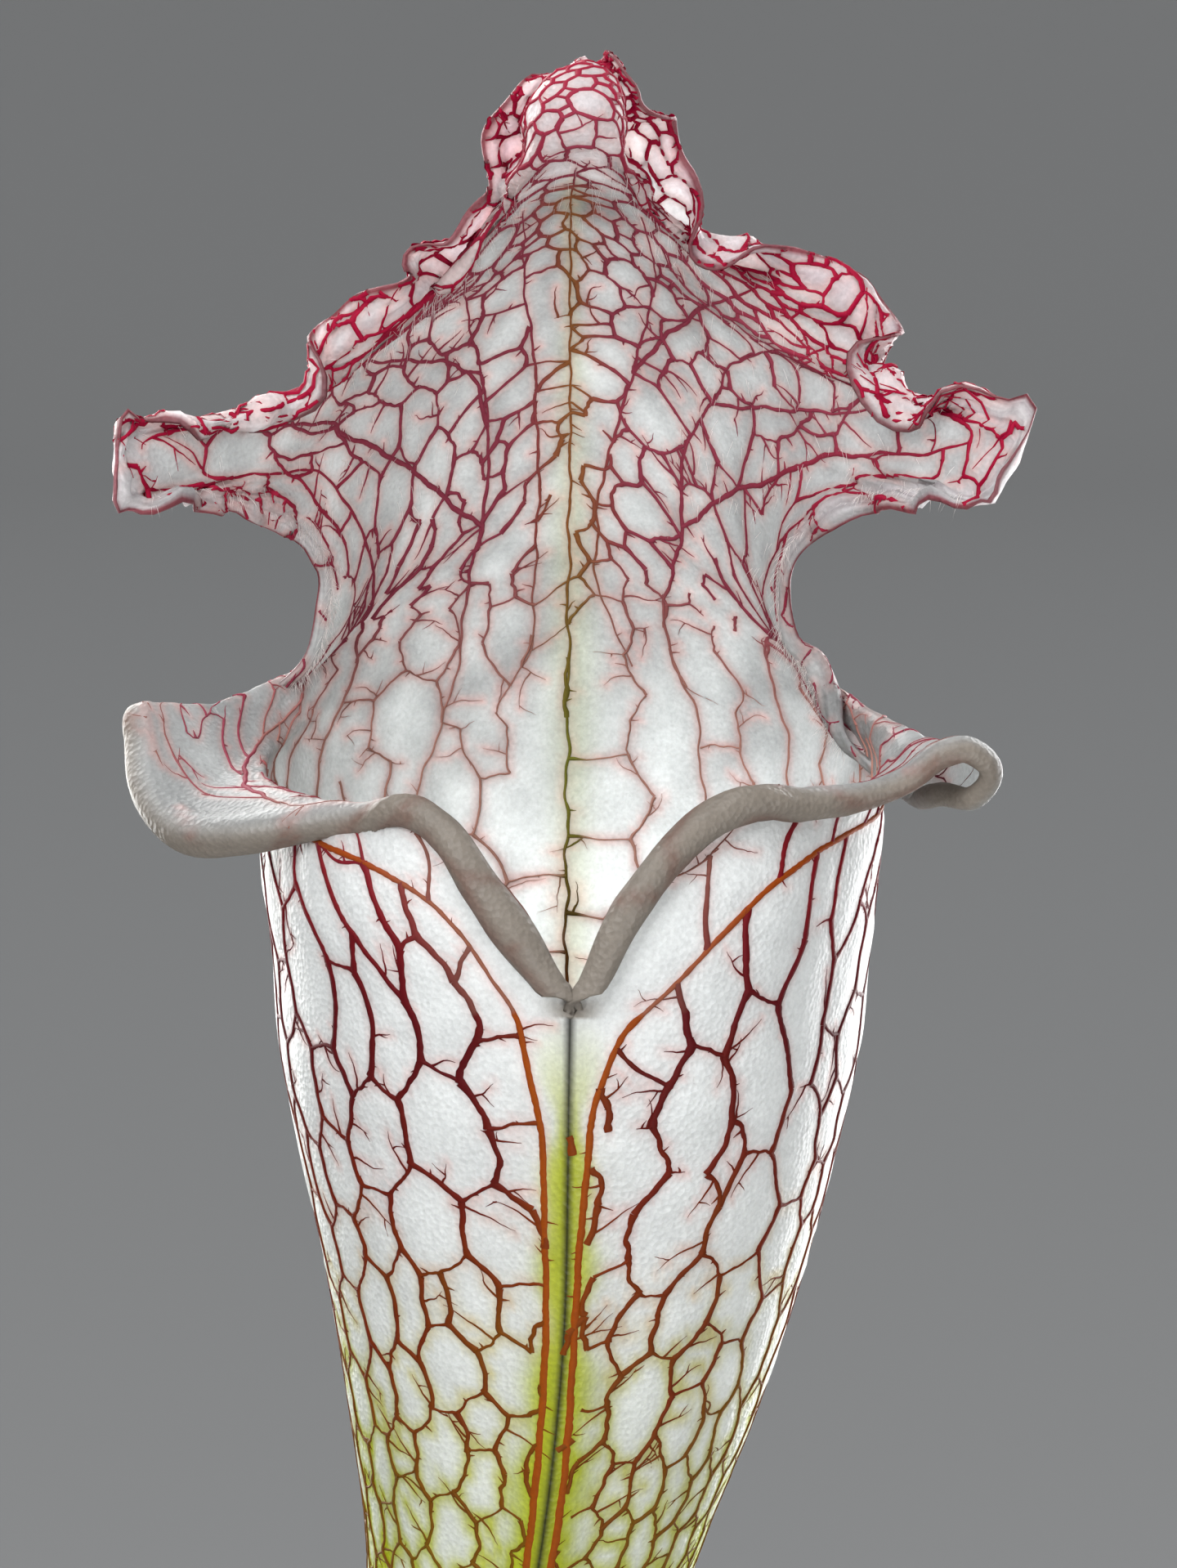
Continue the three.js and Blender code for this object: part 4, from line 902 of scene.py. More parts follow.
def relief(sheet, c, s, h, distance):
    """How far the surface stands off the plain sheet: cells swell between the veins, the upper margin is
    finely frilled and the hood is dimpled."""
    size = sheet.size
    k, across = s / size, c * sheet.half_at(s)
    rim = sheet.half_at(s) * (1 - np.abs(c)) / size
    swell = 0.2 * size * (1 - np.exp(-(distance / (1.5 * size)) ** 2)) * np.where(np.abs(c) <= 1, 1.0, 0.3)
    swell *= mix(1.0, 0.35, smooth(-k, 60, 180))
    frill = smooth(h, 0.62, 0.72) * smooth(-rim, -9, 1)
    frill = frill * (0.7 * np.sin(h * 190 + 2 * np.sin(h * 60)) + 0.5 * ripple(h * 160, c * 6, 5)) * size
    dimple = 0.12 * size * ripple(across * 0.5, s * 0.5, 9) * smooth(k, -4, 12)
    dimple += 0.5 * size * ripple(across * 0.13, s * 0.09, 15, 2) * smooth(k, 0, 20) * smooth(rim, 0, 6)
    return swell + frill + dimple


def leaf_faces(sheet, count):
    """Faces of the outer sheet, of the inner one (its points come count later) and of the edges between."""
    rows, columns = sheet.grid.shape[:2]
    tube, first = sheet.tube_rows, sheet.first
    last = columns - first - 1
    index = np.arange(rows * columns).reshape(rows, columns)
    usable = np.zeros((rows, columns), bool)
    usable[:, first:last + 1] = True
    usable[tube:, :] = True
    index[:tube, last] = index[:tube, first]             # the tube is closed along its keel
    quads = np.stack([index[:-1, :-1], index[:-1, 1:], index[1:, 1:], index[1:, :-1]], -1)
    keep = usable[:-1, :-1] & usable[:-1, 1:]
    cut = int(np.searchsorted(sheet.h, sheet.form["foot"] * 0.75))     # no inner wall in the narrow foot
    inside = quads[cut:][keep[cut:]].reshape(-1, 4) + count

    def edge(line):
        return np.stack([line[:-1], line[1:], line[1:] + count, line[:-1] + count], 1)

    return np.concatenate([
        quads[keep].reshape(-1, 4), inside[:, ::-1], edge(index[tube:, 0][::-1])[:, ::-1],
        edge(index[tube:, -1])[:, ::-1], edge(index[-1])[:, ::-1],
        edge(index[tube, :first + 1]), edge(index[tube, last:])])


def leaf_colours(sheet, c, s, h, distance):
    """The sheet's tint on both faces, with the lip, the upper margins' hem and the keel's dark line."""
    size = sheet.size
    colours = np.concatenate([sheet_tint(sheet, c, s, inner, distance) for inner in (False, True)])
    lip = smooth(np.abs(c), 1.02, 1.35) * (1 - smooth(h, 0.40, 0.46)) * (h >= 0)
    lip = np.maximum(lip, smooth(np.abs(c), 0.97, 1.0) * (h >= 0) * (1 - smooth(h, 0.004, 0.02)))
    lip_colour = np.tile(toward(LIP, LIP_VEIN, 0.65 * np.exp(-(distance / (0.5 * size)) ** 2)), (2, 1))
    hem = smooth(np.abs(c), 1.82, 1.95) * smooth(s / size, 34, 46)
    line = np.exp(-(sheet.half_at(s) * (1 - np.abs(c)) / (0.3 * size)) ** 2) * (h < 0)
    for colour, amount in ((lip_colour, 0.92 * lip), (0.7 * CRIMSON, 0.85 * hem), (KEEL_LINE, 0.97 * line)):
        colours = toward(colours, colour, np.tile(amount, 2))
    return colours


def build_pitcher(form, look, net_look, finish, vein_finish, hair_finish):
    sheet = Pitcher(form, *look)
    name, size = form["node"], form["size"]
    net = Net(sheet, **net_look)
    rows, columns = sheet.grid.shape[:2]
    distance = vein_distances(sheet, net)
    c, s, h = np.tile(sheet.c, rows), np.repeat(sheet.along, columns), np.repeat(sheet.h, columns)
    offset = relief(sheet, c, s, h, distance)
    # the keel: a blade up the front, highest half way
    share = (1 - (h / form["foot"]) ** (1 / TUBE_POWER) - KEEL_START) / (1 - KEEL_START)
    keel = np.where(h < 0, form["keel"] * np.sin(math.pi * np.clip(share, 0, 1) ** 0.8), 0)
    half_wall = 0.3 if size == 1 else 0.26

    def thickness(c, s):
        """Half of the wall's thickness: it thins towards the hood's margins."""
        hood = smooth(s, along_of(sheet, 0.46), along_of(sheet, 0.52))
        return half_wall * (1 - 0.6 * hood * smooth(np.abs(c), 1.7, 1.97))

    def blade(height, c, s):
        """How far the keel stands off the wall there, where it is height high."""
        half = sheet.half_at(s)
        return height * np.exp(-(half * (1 - np.minimum(np.abs(c), 1)) / (0.55 * size + 0.035 * half)) ** 2)

    normals = sheet.normals.reshape(-1, 3)
    middle = sheet.grid.reshape(-1, 3) + normals * offset[:, None]
    thick = thickness(c, s)
    outer = middle + normals * (thick + np.where(h < 0, blade(keel, c, s), 0))[:, None]
    points = sheet.place(np.concatenate([outer, middle - normals * thick[:, None]]))
    count = rows * columns
    faces = leaf_faces(sheet, count)
    used = np.unique(faces)
    remap = np.full(2 * count, -1)
    remap[used] = np.arange(len(used))
    colours = leaf_colours(sheet, c, s, h, distance)
    leaf = mesh_piece(name + "_leaf", points[used], remap[faces], colours[used])
    wear(leaf, finish, "pitcher_leaf", name)

    # vein ribbons on both faces
    offset = offset.reshape(rows, columns)
    points, faces, tints = [], [], []
    total = 0
    for path, width, flank in net.lines:
        u, along = path.T
        col = sheet.column_of(u, along)
        at, normal = sheet.sample(col, along)
        if (along > 0).any() and np.abs(col).max() > 1.3 and along.mean() < along_of(sheet, 0.43):
            continue                                     # the rolled lip shows its veins as faint bands only
        row, column = sheet.spot(col, along)
        lift = offset[np.clip(np.rint(row).astype(int), 0, rows - 1),
                      np.clip(np.rint(column).astype(int), 0, columns - 1)]
        height = np.interp(row, np.arange(rows), keel.reshape(rows, columns)[:, 0])
        keel_lift = np.where(along < 0, blade(height, col, along), 0)
        side = unit(np.cross(normal, unit(np.gradient(at, axis=0))))
        tint = vein_tint(sheet, col, along)
        if flank:
            tint = mix(tint, ORANGE_BROWN * 0.6, 0.8)
        flare = (1 - smooth(along, along_of(sheet, 0.42), along_of(sheet, 0.5))) * (along > 0)
        flare = flare * smooth(np.abs(col), 0.86, 0.99)
        tint = toward(tint, linear(128, 92, 80), 0.8 * flare)
        width = width * (1 - 0.45 * flare)
        crown = np.minimum(0.16, 0.34 * width)[:, None] * 0.8
        for face in (1, -1):
            if face < 0 and along.mean() < -70 * size:
                continue
            if face < 0:             # veins show faintly low on the inside, but for the midrib
                faint = smooth(along / size, 14, 42) + smooth(np.abs(col), 0.55, 0.8)
                midrib = np.exp(-(col * sheet.half_at(along) / (0.8 * size)) ** 2)
                faint = faint + midrib * smooth(along / size, -14, -4)
                width = width * mix(0.42, 1.0, np.minimum(1, faint))
                tint = toward(linear(190, 146, 130), tint, np.clip(0.25 + faint, 0, 1))
            stand = lift + face * thickness(col, along) + (keel_lift if face > 0 else 0)
            base = at + normal * stand[:, None]
            wide = side * (width / 2)[:, None]
            sink, rise = face * normal * -0.04, face * normal * crown
            line = np.stack([base - wide + sink, base - wide / 2 + rise, base + wide / 2 + rise,
                             base + wide + sink], 1)
            ids = total + np.arange(len(at) * 4).reshape(-1, 4)
            quads = np.stack([ids[:-1, :-1], ids[:-1, 1:], ids[1:, 1:], ids[1:, :-1]], -1).reshape(-1, 4)
            faces.append(quads if face < 0 else quads[:, ::-1])
            points.append(line.reshape(-1, 3))
            tints.append(np.repeat(tint, 4, 0))
            total += len(at) * 4
    points = sheet.place(np.concatenate(points))
    veins = mesh_piece(name + "_veins", points, np.concatenate(faces), np.concatenate(tints))
    wear(veins, vein_finish, "pitcher_leaf", name)
    build_hairs(sheet, form, hair_finish)


def build_hairs(sheet, form, finish):
    """Fine white hairs on the neck's and ears' lower edges and inside the top of the hood."""
    draw = np.random.default_rng(61)
    size = form["size"]
    amount = 1500 if size == 1 else 350
    spots = []
    for _ in range(amount):
        where = draw.random()
        sign = draw.choice((-1, 1))
        if where < 0.55:            # edge from the neck to the ear
            h, c = draw.uniform(0.5, 0.755), sign * draw.uniform(0.93, 1.15)
        elif where < 0.75:
            h, c = draw.uniform(0.86, 0.95), sign * draw.uniform(0.0, 0.9)
        else:
            h, c = draw.uniform(0.6, 0.93), sign * draw.uniform(0.3, 1.1)
        spots.append((c, np.interp(h, sheet.h, sheet.along)))
    spots = np.array(spots)
    at, normal = sheet.sample(spots[:, 0], spots[:, 1])
    beyond, _ = sheet.sample(spots[:, 0] + 0.05 * np.sign(spots[:, 0]), spots[:, 1])
    out = unit(beyond - at + 1e-6)
    length = draw.uniform(0.7, 1.9, amount) * size
    outwards, inwards = draw.uniform(0.2, 0.9, amount), draw.uniform(0.2, 1.0, amount)
    lean = unit(out * outwards[:, None] - normal * inwards[:, None]
                + np.array([0, 0, -0.7]) + draw.normal(0, 0.35, (amount, 3)))
    points, faces = [], []
    thick = 0.02 * size ** 0.5
    for k in range(amount):
        root, way = at[k] - normal[k] * 0.2, lean[k]
        side = unit(np.cross(way, normal[k] + 0.01))
        cross = np.cross(way, side)
        start = len(points)
        for t, radius in ((0, 1), (0.5, 0.75)):
            middle = root + way * length[k] * t + np.array([0, 0, -0.16 * length[k] * t * t])
            for angle in (0, 2.1, 4.2):
                points.append(middle + thick * radius * (math.cos(angle) * side + math.sin(angle) * cross))
        points.append(root + way * length[k] + np.array([0, 0, -0.2 * length[k]]))
        for a, b in ((0, 1), (1, 2), (2, 0)):
            faces.append((start + a, start + b, start + 3 + b))
            faces.append((start + a, start + 3 + b, start + 3 + a))
            faces.append((start + 3 + a, start + 3 + b, start + 6))
    white = np.repeat(linear(246, 240, 238)[None], len(points), 0)
    hairs = mesh_piece(form["node"] + "_hairs", sheet.place(np.array(points)), np.array(faces), white)
    wear(hairs, finish, "pitcher_leaf", form["node"])


# ---- sword leaves and the spear ----
def spline(points, count):
    """Even places along a centripetal Catmull-Rom curve, and its directions."""
    points = np.array(points, float)
    ext = np.concatenate([[2 * points[0] - points[1]], points, [2 * points[-1] - points[-2]]])
    out = []
    for i in range(1, len(ext) - 2):
        p = ext[i - 1:i + 3]
        gaps = np.sqrt(np.linalg.norm(np.diff(p, axis=0), axis=1)) + 1e-9
        t1 = (p[1] - p[0]) / gaps[0] - (p[2] - p[0]) / (gaps[0] + gaps[1]) + (p[2] - p[1]) / gaps[1]
        t2 = (p[2] - p[1]) / gaps[1] - (p[3] - p[1]) / (gaps[1] + gaps[2]) + (p[3] - p[2]) / gaps[2]
        m1, m2 = t1 * gaps[1], t2 * gaps[1]
        t = np.linspace(0, 1, 60, endpoint=i == len(ext) - 3)[:, None]
        out.append((2 * t ** 3 - 3 * t ** 2 + 1) * p[1] + (t ** 3 - 2 * t ** 2 + t) * m1
                   + (3 * t ** 2 - 2 * t ** 3) * p[2] + (t ** 3 - t ** 2) * m2)
    line = np.concatenate(out)
    length = np.concatenate([[0], np.cumsum(np.linalg.norm(np.diff(line, axis=0), axis=1))])
    even = np.linspace(0, length[-1], count)
    at = np.stack([np.interp(even, length, line[:, k]) for k in range(3)], 1)
    return at, unit(np.gradient(at, axis=0))


def loft(path_points, side_of, rings, outline_of, around):
    """Rings of points along a path: the points, their faces, and each point's share and angle."""
    at, along = spline(path_points, rings)
    points = []
    for i, share in enumerate(np.linspace(0, 1, rings)):
        side = side_of(share)
        side = unit(side - along[i] * np.dot(side, along[i]))
        cross = np.cross(along[i], side)
        u, w = outline_of(share)
        points.append(at[i] + side * u[:, None] + cross * w[:, None])
    share = np.repeat(np.linspace(0, 1, rings), around)
    return np.concatenate(points), ring_faces(rings, around), share, np.tile(circle(around), rings)


FOOT_RED = linear(122, 44, 40)
SWORD_WIDTH = np.array([(0, 1.9), (0.1, 1.9), (0.25, 3.2), (0.45, 6.2), (0.65, 8), (0.82, 6.6), (0.94, 3),
                        (1, 0.5)])
SWORD_DEPTH = np.array([(0, 1.9), (0.1, 1.8), (0.25, 1.4), (0.5, 1.1), (0.9, 0.8), (1, 0.4)])
# Sword leaves: turn, share of the full width, path above the foot.
SWORDS = [(0.3, 1, [(-4, -12, 90), (-9, -28, 160), (-14, -45, 215)]),
          (2.6, 0.95, [(-8, 14, 90), (-18, 31, 150), (-28, 47, 190)]),
          (1.2, 0.85, [(-9, -3, 70), (-18, -7, 115), (-27, -12, 150)]),
          (2.4, 1, [(7, 13, 95), (16, 28, 165), (27, 43, 225)])]
SPEAR_WIDTH = np.array([(0, 1.9), (0.1, 1.9), (0.35, 3), (0.6, 4.6), (0.78, 6.2), (0.88, 6.6), (0.95, 4.4),
                        (1, 0.4)])


def rising(foot, rows):
    return [(foot[0], foot[1], BASE_Z)] + [(foot[0] + x, foot[1] + y, BASE_Z + z) for x, y, z in rows]


def build_sword(name, foot, rows, turn, scale, finish, seed):
    around, rings = 48, 190

    def outline(share):
        width = through(SWORD_WIDTH, [share])[0, 0] * (1 if share < 0.12 else scale)
        depth = through(SWORD_DEPTH, [share])[0, 0]
        flat = min(1, max(0, (share - 0.1) / 0.25))
        angle = circle(around)
        u, w = width * np.cos(angle), np.sin(angle)
        near = np.abs(np.cos(angle))
        half = depth * mix(np.sqrt(np.maximum(0, 1 - near ** 2)), 1 - 0.62 * near, flat)
        half = half * mix(1.0, np.minimum(1, (1 - near) / 0.06) ** 0.5, flat)
        veins = 0.05 * np.cos(np.cos(angle) * 34) * flat * (1 - near)
        edge = np.sign(w) * (half + veins)
        curl = 0.25 * math.sin(share * 9 + seed) * flat * near ** 2
        return u, edge + flat * 0.16 * np.abs(u) + curl

    def facing(share):
        return np.array([math.cos(turn + 0.5 * share), math.sin(turn + 0.5 * share), 0])

    points, faces, share, angle = loft(rising(foot, rows), facing, rings, outline, around)
    near = np.abs(np.cos(angle))
    stripe = 0.5 + 0.5 * np.cos(np.cos(angle) * 34 + 0.4 * np.sin(share * 20))
    col = toward(linear(150, 160, 84), linear(74, 102, 36), smooth(share, 0.02, 0.4))
    col = toward(col, linear(118, 142, 60), 0.35 * stripe * (1 - near))
    blush = smooth(near, 0.86, 1.0) * smooth(share, 0.15, 0.5) + smooth(share, 0.93, 1.0) * 0.8
    blush = np.clip(0.6 * blush + 0.15 * ripple(share * 14, near * 2, seed), 0, 1)
    col = toward(col, linear(132, 52, 34), blush)
    col = toward(col, FOOT_RED, 0.75 * (1 - smooth(share, 0.0, 0.09)))
    wear(mesh_piece(name + "_blade", points, faces, col), finish, "sword_leaf", name)


def build_spear(foot, rows, finish):
    around, rings = 56, 200

    def outline(share):
        width = through(SPEAR_WIDTH, [share])[0, 0]
        angle = circle(around)
        u = width * (1 if share < 0.12 else 0.72) * np.cos(angle)
        w = width * np.sin(angle)
        swell = smooth(share, 0.2, 0.5)
        seam = np.exp(-(np.minimum(angle, 2 * math.pi - angle) / 0.14) ** 2)
        rib = 1 + swell * (0.035 * np.cos(angle * 9) + 0.05 * seam)
        fold = 1 - 0.16 * smooth(share, 0.84, 0.93) * np.exp(-((angle - math.pi * 1.5) / 0.24) ** 2)
        return u * rib * fold * 0.97, w * rib * fold * 0.97

    points, faces, share, angle = loft(rising(foot, rows), lambda _: np.array([1, 0.4, 0]), rings, outline,
                                       around)
    net = ripple(np.cos(angle) * 5, share * 60, 3) + 0.6 * np.cos(angle * 9)
    col = toward(linear(140, 150, 74), linear(150, 112, 70), smooth(share, 0.1, 0.6))
    col = toward(col, linear(206, 176, 152), smooth(share, 0.7, 0.95))
    col = toward(col, linear(128, 30, 38), smooth(net, 0.25, 0.75) * smooth(share, 0.1, 0.5) * 0.75)
    col = toward(col, FOOT_RED, 0.7 * (1 - smooth(share, 0.0, 0.09)))
    wear(mesh_piece("spear_bud", points, faces, col), finish, "spear_leaf", "spear")


# ---- rhizome, peat, moss and pot ----
RHIZOME_BODY = np.array([(0, 0.25), (0.05, 0.62), (0.14, 0.86), (0.5, 0.97), (0.86, 1), (0.96, 0.72),
                         (1, 0.3)])
RHIZOME_FROM, RHIZOME_TO, RHIZOME_Z, RHIZOME_RADIUS = -47.0, 23.0, 94.0, 9.0
POT_TOP, POT_BASE, POT_HEIGHT = 62.5, 46.0, 110.0        # the wall's outer radius at top and base, the height
POT_WALL, POT_FLOOR, POT_LIP, POT_BAND = 1.8, 2.4, 2.5, 13.0
HOLES, HOLES_OUT, HOLE_RADIUS = 6, 33, 4.5
SOIL_TOP, SOIL_LOW, SOIL_ROOM = 98.0, 2.7, 0.3
FEET = {"pitcher": (0, 0), "young_pitcher": (-11, 2.5), "spear": (9, 1), "phyllode_1": (-19, -3),
        "phyllode_2": (-26.5, 3), "phyllode_3": (-35, -1.5), "phyllode_4": (16.5, 2)}


def build_rhizome(finish):
    rings, around = 240, 64
    x = np.linspace(RHIZOME_FROM, RHIZOME_TO, rings)
    share = (x - x[0]) / (x[-1] - x[0])
    angle = circle(around)
    body = through(RHIZOME_BODY, share)[:, 0] * RHIZOME_RADIUS
    scales = 0.5 + 0.5 * np.sin(share[:, None] * 20 * math.pi + 1.3 * np.sin(angle[None] * 2))
    radius = body[:, None] * (0.955 + 0.04 * scales ** 3)
    radius = radius * (1 + 0.02 * ripple(share[:, None] * 60, angle[None] * 3, 2))
    points = np.stack([x[:, None] + 0 * radius, radius * np.cos(angle),
                       RHIZOME_Z + radius * np.sin(angle)], -1)
    fibres = smooth(ripple(share[:, None] * 90, angle[None] * 4, 8), 0.1, 0.8)
    colours = toward(linear(84, 58, 40), linear(46, 28, 20), scales ** 2)
    colours = toward(colours, linear(128, 92, 60), 0.4 * fibres)
    faces = ring_faces(rings, around, flip=True)
    piece = mesh_piece("rhizome_body", points.reshape(-1, 3), faces, colours.reshape(-1, 3))
    wear(piece, finish, "rhizome_skin", "rhizome")


def pot_radius(z):
    return POT_BASE + (POT_TOP - POT_BASE) / POT_HEIGHT * z


def soil_height(x, y):
    reach = np.hypot(x, y)
    height = 97.7 + 0.5 * ripple(x * 0.16, y * 0.16, 12) + 0.22 * ripple(x * 0.9, y * 0.9, 13)
    return height - 1.0 * smooth(reach, 52, 58.4)


def build_soil(finish, crumb_finish, moss_finish):
    def radius_at(z):
        return pot_radius(z) - (POT_WALL + SOIL_ROOM)

    rings, around = 110, 300
    angle = circle(around)
    share = np.linspace(0, 1, rings)
    reach = radius_at(SOIL_TOP - 1) * share
    x, y = reach[:, None] * np.cos(angle), reach[:, None] * np.sin(angle)
    z = soil_height(x, y) + 0.12 * np.random.default_rng(4).normal(size=x.shape) * (share[:, None] < 0.995)
    z = np.clip(z, 90, 98.75)
    side = [(radius_at(h), h) for h in np.linspace(SOIL_TOP - 2, SOIL_LOW, 12)] + [(0.02, SOIL_LOW)]
    points = np.concatenate([np.stack([x, y, z], -1).reshape(-1, 3)] + [ring(r, angle, h) for r, h in side])
    faces = ring_faces(rings + len(side), around, flip=True, capped=False)
    wear(mesh_piece("peat", points, faces), finish, "peat", "soil")

    draw = np.random.default_rng(77)
    crumb_points, crumb_faces, crumb_tints = [], [], []
    cube = np.array([(-1, -1, -1), (1, -1, -1), (1, 1, -1), (-1, 1, -1),
                     (-1, -1, 1), (1, -1, 1), (1, 1, 1), (-1, 1, 1)])
    cube_faces = np.array([(0, 3, 2, 1), (4, 5, 6, 7), (0, 1, 5, 4), (1, 2, 6, 5), (2, 3, 7, 6), (3, 0, 4, 7)])
    for k in range(2600):
        r, a = 57.0 * math.sqrt(draw.random()), draw.uniform(0, 2 * math.pi)
        px, py = r * math.cos(a), r * math.sin(a)
        white = draw.random() < 0.06
        size = draw.uniform(0.35, 0.95) * (1.0 if white else draw.uniform(0.5, 1.2))
        shape = cube * draw.uniform(0.45, 1.0, (8, 3)) * size * ((1, 1, 0.8) if white else (1.5, 0.7, 0.5))
        spin = draw.uniform(0, 2 * math.pi)
        turn = np.array([[math.cos(spin), math.sin(spin), 0], [-math.sin(spin), math.cos(spin), 0], [0, 0, 1]])
        height = min(float(soil_height(px, py)), 98.2)
        crumb_faces.append(cube_faces + 8 * k)
        crumb_points.append(shape @ turn + (px, py, height + 0.1 * size))
        if white:
            colour = linear(206, 200, 186)
        else:
            colour = linear(*(draw.uniform(0.6, 1.3) * np.array([70, 48, 34])))
        crumb_tints.append(np.repeat(colour[None], 8, 0))
    crumbs = mesh_piece("peat_crumbs", np.concatenate(crumb_points), np.concatenate(crumb_faces),
                        np.concatenate(crumb_tints), smooth_faces=False)
    wear(crumbs, crumb_finish, "peat", "soil")
    build_moss(moss_finish)


def build_moss(finish):
    """Sphagnum in cushions on the peat: small stars of pointed leaves, raised a little above it."""
    draw = np.random.default_rng(5)
    points, faces, tints = [], [], []
    tufts = [(draw.uniform(0, 2 * math.pi), draw.uniform(14, 53), draw.uniform(5, 11)) for _ in range(15)]
    for angle, reach, spread in tufts:
        cx, cy = reach * math.cos(angle), reach * math.sin(angle)
        for _ in range(int(spread * spread * 1.1)):
            px, py = draw.normal(cx, spread * 0.42), draw.normal(cy, spread * 0.42)
            if math.hypot(px, py) > 56 or any(math.hypot(px - fx, py - fy) < 5 for fx, fy in FEET.values()):
                continue
            if RHIZOME_FROM < px < RHIZOME_TO and abs(py) < 8.5:
                continue
            mound = math.exp(-((px - cx) ** 2 + (py - cy) ** 2) / (spread * spread * 0.4))
            top = float(soil_height(px, py)) + 0.6 + 2.6 * mound * draw.uniform(0.7, 1.1)
            green = mix(linear(150, 166, 78), linear(92, 116, 40), draw.random()) * draw.uniform(0.75, 1.15)
            if draw.random() < 0.1:
                green = linear(150, 80, 52)
            for tier, (count, long, rise) in enumerate(((6, 1.5, 0.25), (5, 1.0, 0.75))):
                for leaf in range(count):
                    a = 2 * math.pi * (leaf + 0.5 * tier) / count + draw.uniform(-0.3, 0.3)
                    way = np.array([math.cos(a), math.sin(a), rise + draw.uniform(-0.15, 0.15)])
                    across = np.array([-math.sin(a), math.cos(a), 0]) * 0.3 * long
                    base = np.array([px, py, top - 0.5 + 0.35 * tier])
                    middle = base + way * long * 0.5 + np.array([0, 0, 0.12])
                    faces.append(list(range(len(points), len(points) + 5)))
                    points += [base - across * 0.4, base + across * 0.4, middle + across, base + way * long,
                               middle - across]
                    tints += [green * 0.7, green * 0.7, green, green * 1.2, green]
    moss = mesh_piece("moss", points, faces, np.clip(np.array(tints), 0, 1))
    wear(moss, finish, "peat", "soil")


def build_pot(finish):
    at, h, lip = pot_radius, POT_HEIGHT, POT_LIP
    band = h - POT_BAND
    outline = [(0.01, 0.0), (POT_BASE - 6, 0.0), (POT_BASE - 4.5, 0.6), (POT_BASE - 3, 0.6),
               (POT_BASE - 1.6, 0.0), (POT_BASE - 1, 0.0), (POT_BASE - 0.3, 0.3), (at(1), 1.0)]
    outline += [(at(z), z) for z in np.linspace(6, band - 2, 30)]
    outline += [(at(band), band - 0.3), (at(band) + 0.3, band), (at(band) + lip - 0.5, band + 0.2),
                (at(band) + lip - 0.1, band + 0.6), (at(band + 2) + lip - 0.1, band + 2)]
    outline += [(at(z) + lip - 0.05, z) for z in (band + 4, band + 7, h - 3, h - 1.6)]
    outline += [(at(h) + lip - 0.1, h - 0.8), (at(h) + lip - 0.5, h - 0.2), (at(h) + lip - 1.0, h),
                (at(h) - POT_WALL + 0.8, h), (at(h) - POT_WALL + 0.2, h - 0.4), (at(h) - POT_WALL, h - 1.2)]
    outline += [(at(z) - POT_WALL, z) for z in np.linspace(h - 4, POT_FLOOR + 1, 16)]
    outline += [(at(POT_FLOOR) - POT_WALL - 1, POT_FLOOR), (0.01, POT_FLOOR)]
    around = 192
    points = np.concatenate([ring(radius, circle(around), z) for radius, z in outline])
    pot = mesh_piece("pot_wall", points, ring_faces(len(outline), around))
    points, faces = [], []
    for k in range(HOLES):
        a = 2 * math.pi * (k + 0.5) / HOLES
        x, y = HOLES_OUT * math.cos(a), HOLES_OUT * math.sin(a)
        faces += [[len(points) * 32 + corner for corner in face] for face in ring_faces(2, 32)]
        points += [ring(HOLE_RADIUS, circle(32), z, x, y) for z in (-2, 5)]
    cutter = mesh_piece("holes", np.concatenate(points), faces)
    cut = pot.modifiers.new("holes", "BOOLEAN")
    cut.operation, cut.object, cut.solver = "DIFFERENCE", cutter, "EXACT"
    bpy.context.view_layer.update()
    cut_mesh = bpy.data.meshes.new_from_object(pot.evaluated_get(bpy.context.evaluated_depsgraph_get()))
    pot.modifiers.clear()
    pot.data = cut_mesh
    bpy.data.objects.remove(cutter)
    wear(pot, finish, "pot_plastic", "pot")


# ---- stage, lights and camera ----
def build_stage():
    """A plain pale bowl, in metres: a floor that curves up into a round wall, far out."""
    flat, curve, height, around = 6.0, 2.5, 5.0, 96
    profile = [(0.001, 0.0), (flat, 0.0)]
    for k in range(1, 15):
        a = math.pi / 2 * k / 14
        profile.append((flat + curve * math.sin(a), curve - curve * math.cos(a)))
    profile.append((flat + curve, height))
    points = np.concatenate([ring(radius, circle(around), z - 0.0002) for radius, z in profile])
    floor = mesh_piece("floor", points, ring_faces(len(profile), around, capped=False), scale=1.0)
    made, _, _, shader, _ = material("pale_floor")
    for socket, value in (("Base Color", (0.36, 0.36, 0.36, 1)), ("Roughness", 0.95),
                          ("Specular IOR Level", 0.1)):
        shader.inputs[socket].default_value = value
    floor.data.materials.append(made)


# Lights: name, place from the target (m), size (m), watts, colour.
LIGHTS = [
    ("back_left", (-0.28, 0.42, 0.12), (0.35, 0.6), 9.2, (1.0, 0.99, 0.97)),
    ("back_right", (0.3, 0.4, 0.02), (0.35, 0.6), 7.8, (1, 1, 1)),
    ("front", (-0.6, -0.9, 0.6), (0.6, 0.6), 15.0, (1, 1, 1)),
    ("top", (-0.1, -0.3, 0.9), (0.6, 0.6), 7.0, (1, 1, 1)),
    ("front_low", (0.35, -0.8, -0.25), (0.5, 0.5), 6.5, (1, 1, 1))]


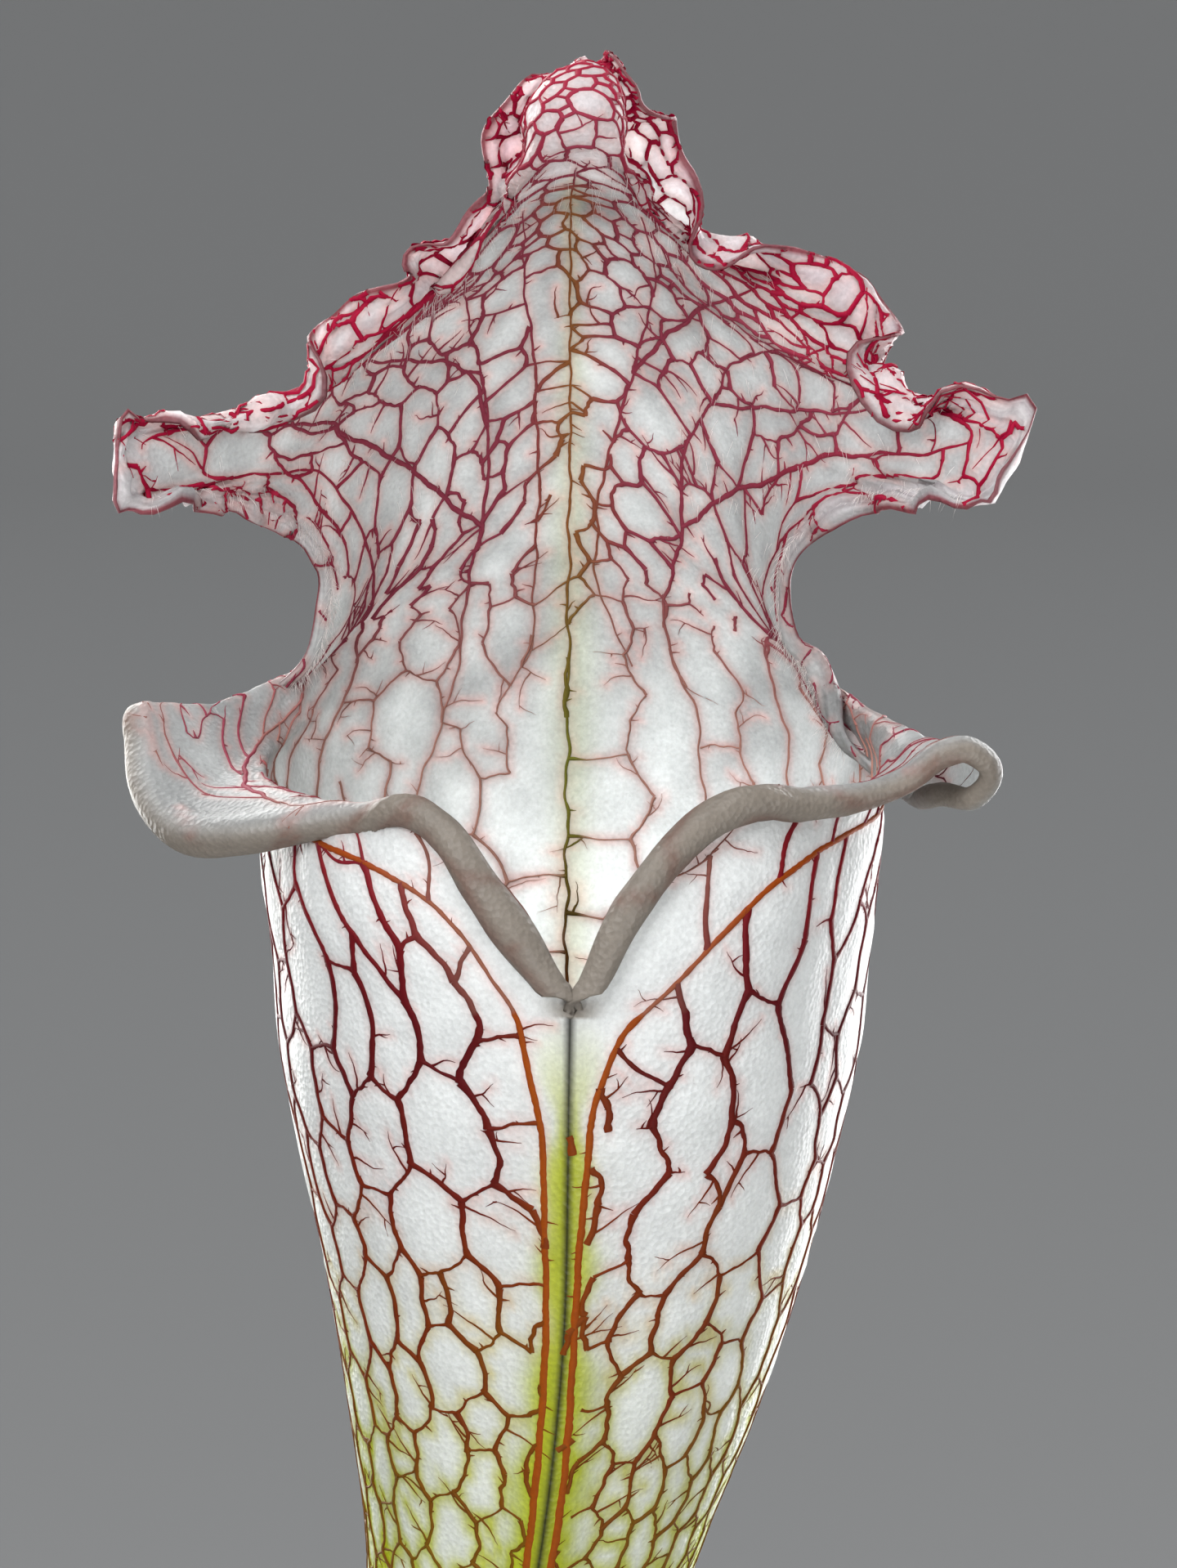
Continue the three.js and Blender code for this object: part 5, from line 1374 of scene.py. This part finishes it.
def build_lights(target):
    world = bpy.data.worlds.new("studio")
    world.use_nodes = True
    sky = world.node_tree.nodes["Background"]
    sky.inputs["Color"].default_value = (0.96, 0.98, 1.0, 1)
    sky.inputs["Strength"].default_value = 0.72
    bpy.context.scene.world = world
    for name, place, size, power, colour in LIGHTS:
        lamp = bpy.data.lights.new(name, "AREA")
        lamp.shape = "RECTANGLE"
        lamp.size, lamp.size_y = size
        lamp.energy, lamp.color = power, colour
        thing = bpy.data.objects.new(name, lamp)
        thing.location = target + Vector(place)
        thing.rotation_euler = (-Vector(place)).to_track_quat("-Z", "Y").to_euler()
        bpy.context.scene.collection.objects.link(thing)
    bpy.context.scene.view_settings.view_transform = "Standard"
    bpy.context.scene.view_settings.look = "None"


def build_camera():
    """Where the photo was taken from, worked out at the tall pitcher's mouth."""
    up_px = NOTCH_PX[1] - PHOTO_HEIGHT / 2
    right = (PHOTO_WIDTH / 2 - NOTCH_PX[0]) * PIXEL_MM
    up = (up_px * PIXEL_MM - 27 * math.sin(CAMERA_UP)) / math.cos(CAMERA_UP)
    lean = TALL["lean"]
    target = Vector((right - lean[0], -lean[1], up + BASE_Z - TALL["foot"])) * MM
    away = Vector((0, -math.cos(CAMERA_UP), math.sin(CAMERA_UP)))
    data = bpy.data.cameras.new("camera")
    camera = bpy.data.objects.new("camera", data)
    camera.location = target + away * CAMERA_AWAY * MM
    camera.rotation_euler = (-away).to_track_quat("-Z", "Y").to_euler()
    data.sensor_width = 36
    data.lens = 36 * (CAMERA_AWAY / PIXEL_MM) / PHOTO_HEIGHT
    data.clip_start, data.clip_end = 0.01, 20
    data.dof.use_dof = False
    bpy.context.scene.collection.objects.link(camera)
    bpy.context.scene.camera = camera
    return target


# ---- the whole plant ----
leaf = leaf_material("pitcher_wall", 0.55, 0.42, 0.2, 0.75, grain_scale=2400.0)
vein = leaf_material("pitcher_veins", 0.14, 0.6, 0.2, 0.2, grain_scale=2600.0, gloss=0.1)
hair = leaf_material("pitcher_hair", 0.5, 0.5, 0.0, 0.0)
blade = leaf_material("sword_blade", 0.18, 0.38, 0.14, 0.25, grain_scale=1100.0)
bud = leaf_material("spear_skin", 0.12, 0.4, 0.14, 0.3, grain_scale=1300.0)
bark = plain_material("bark", (0.5, 0.45, 0.4), (1.0, 1.0, 1.0), 0.85, 700.0, 0.7, 0.0004, tinted=True)
peat = plain_material("peat_bed", linear(38, 25, 17), linear(84, 58, 40), 0.95, 900.0, 1.0, 0.0008)
crumb = plain_material("crumb", 0.6, 1.0, 0.95, 1500.0, 0.6, 0.0003, tinted=True)
moss = leaf_material("moss_leaf", 0.25, 0.6, 0.15, 0.0)
plastic = plain_material("pot_skin", linear(30, 29, 28), linear(40, 38, 36), 0.42, 1800.0, 0.12, 0.00012)

build_pitcher(TALL, (240, 16, 230, 250), dict(seed=11, columns=37, hood_cell=5.3, edge_cell=3.3,
                                              mains=KEEL_VEINS + HOOD_VEINS), leaf, vein, hair)
build_pitcher(YOUNG, (150, 8, 130, 120),
              dict(seed=23, columns=20, hood_cell=4.2, edge_cell=2.5,
                   mains=KEEL_VEINS + HOOD_VEINS[1:2] + HOOD_VEINS[7:9]), leaf, vein, hair)
build_spear(FEET["spear"], [(0, 0, 14), (3, -3, 60), (10, -9, 130), (17, -15, 200)], bud)
for number, (turn, scale, rows) in enumerate(SWORDS, 1):
    name = "phyllode_%d" % number
    build_sword(name, FEET[name], [(0, 0, 14)] + rows, turn, scale, blade, number)
build_rhizome(bark)
build_soil(peat, crumb, moss)
build_pot(plastic)
build_stage()
build_lights(build_camera())
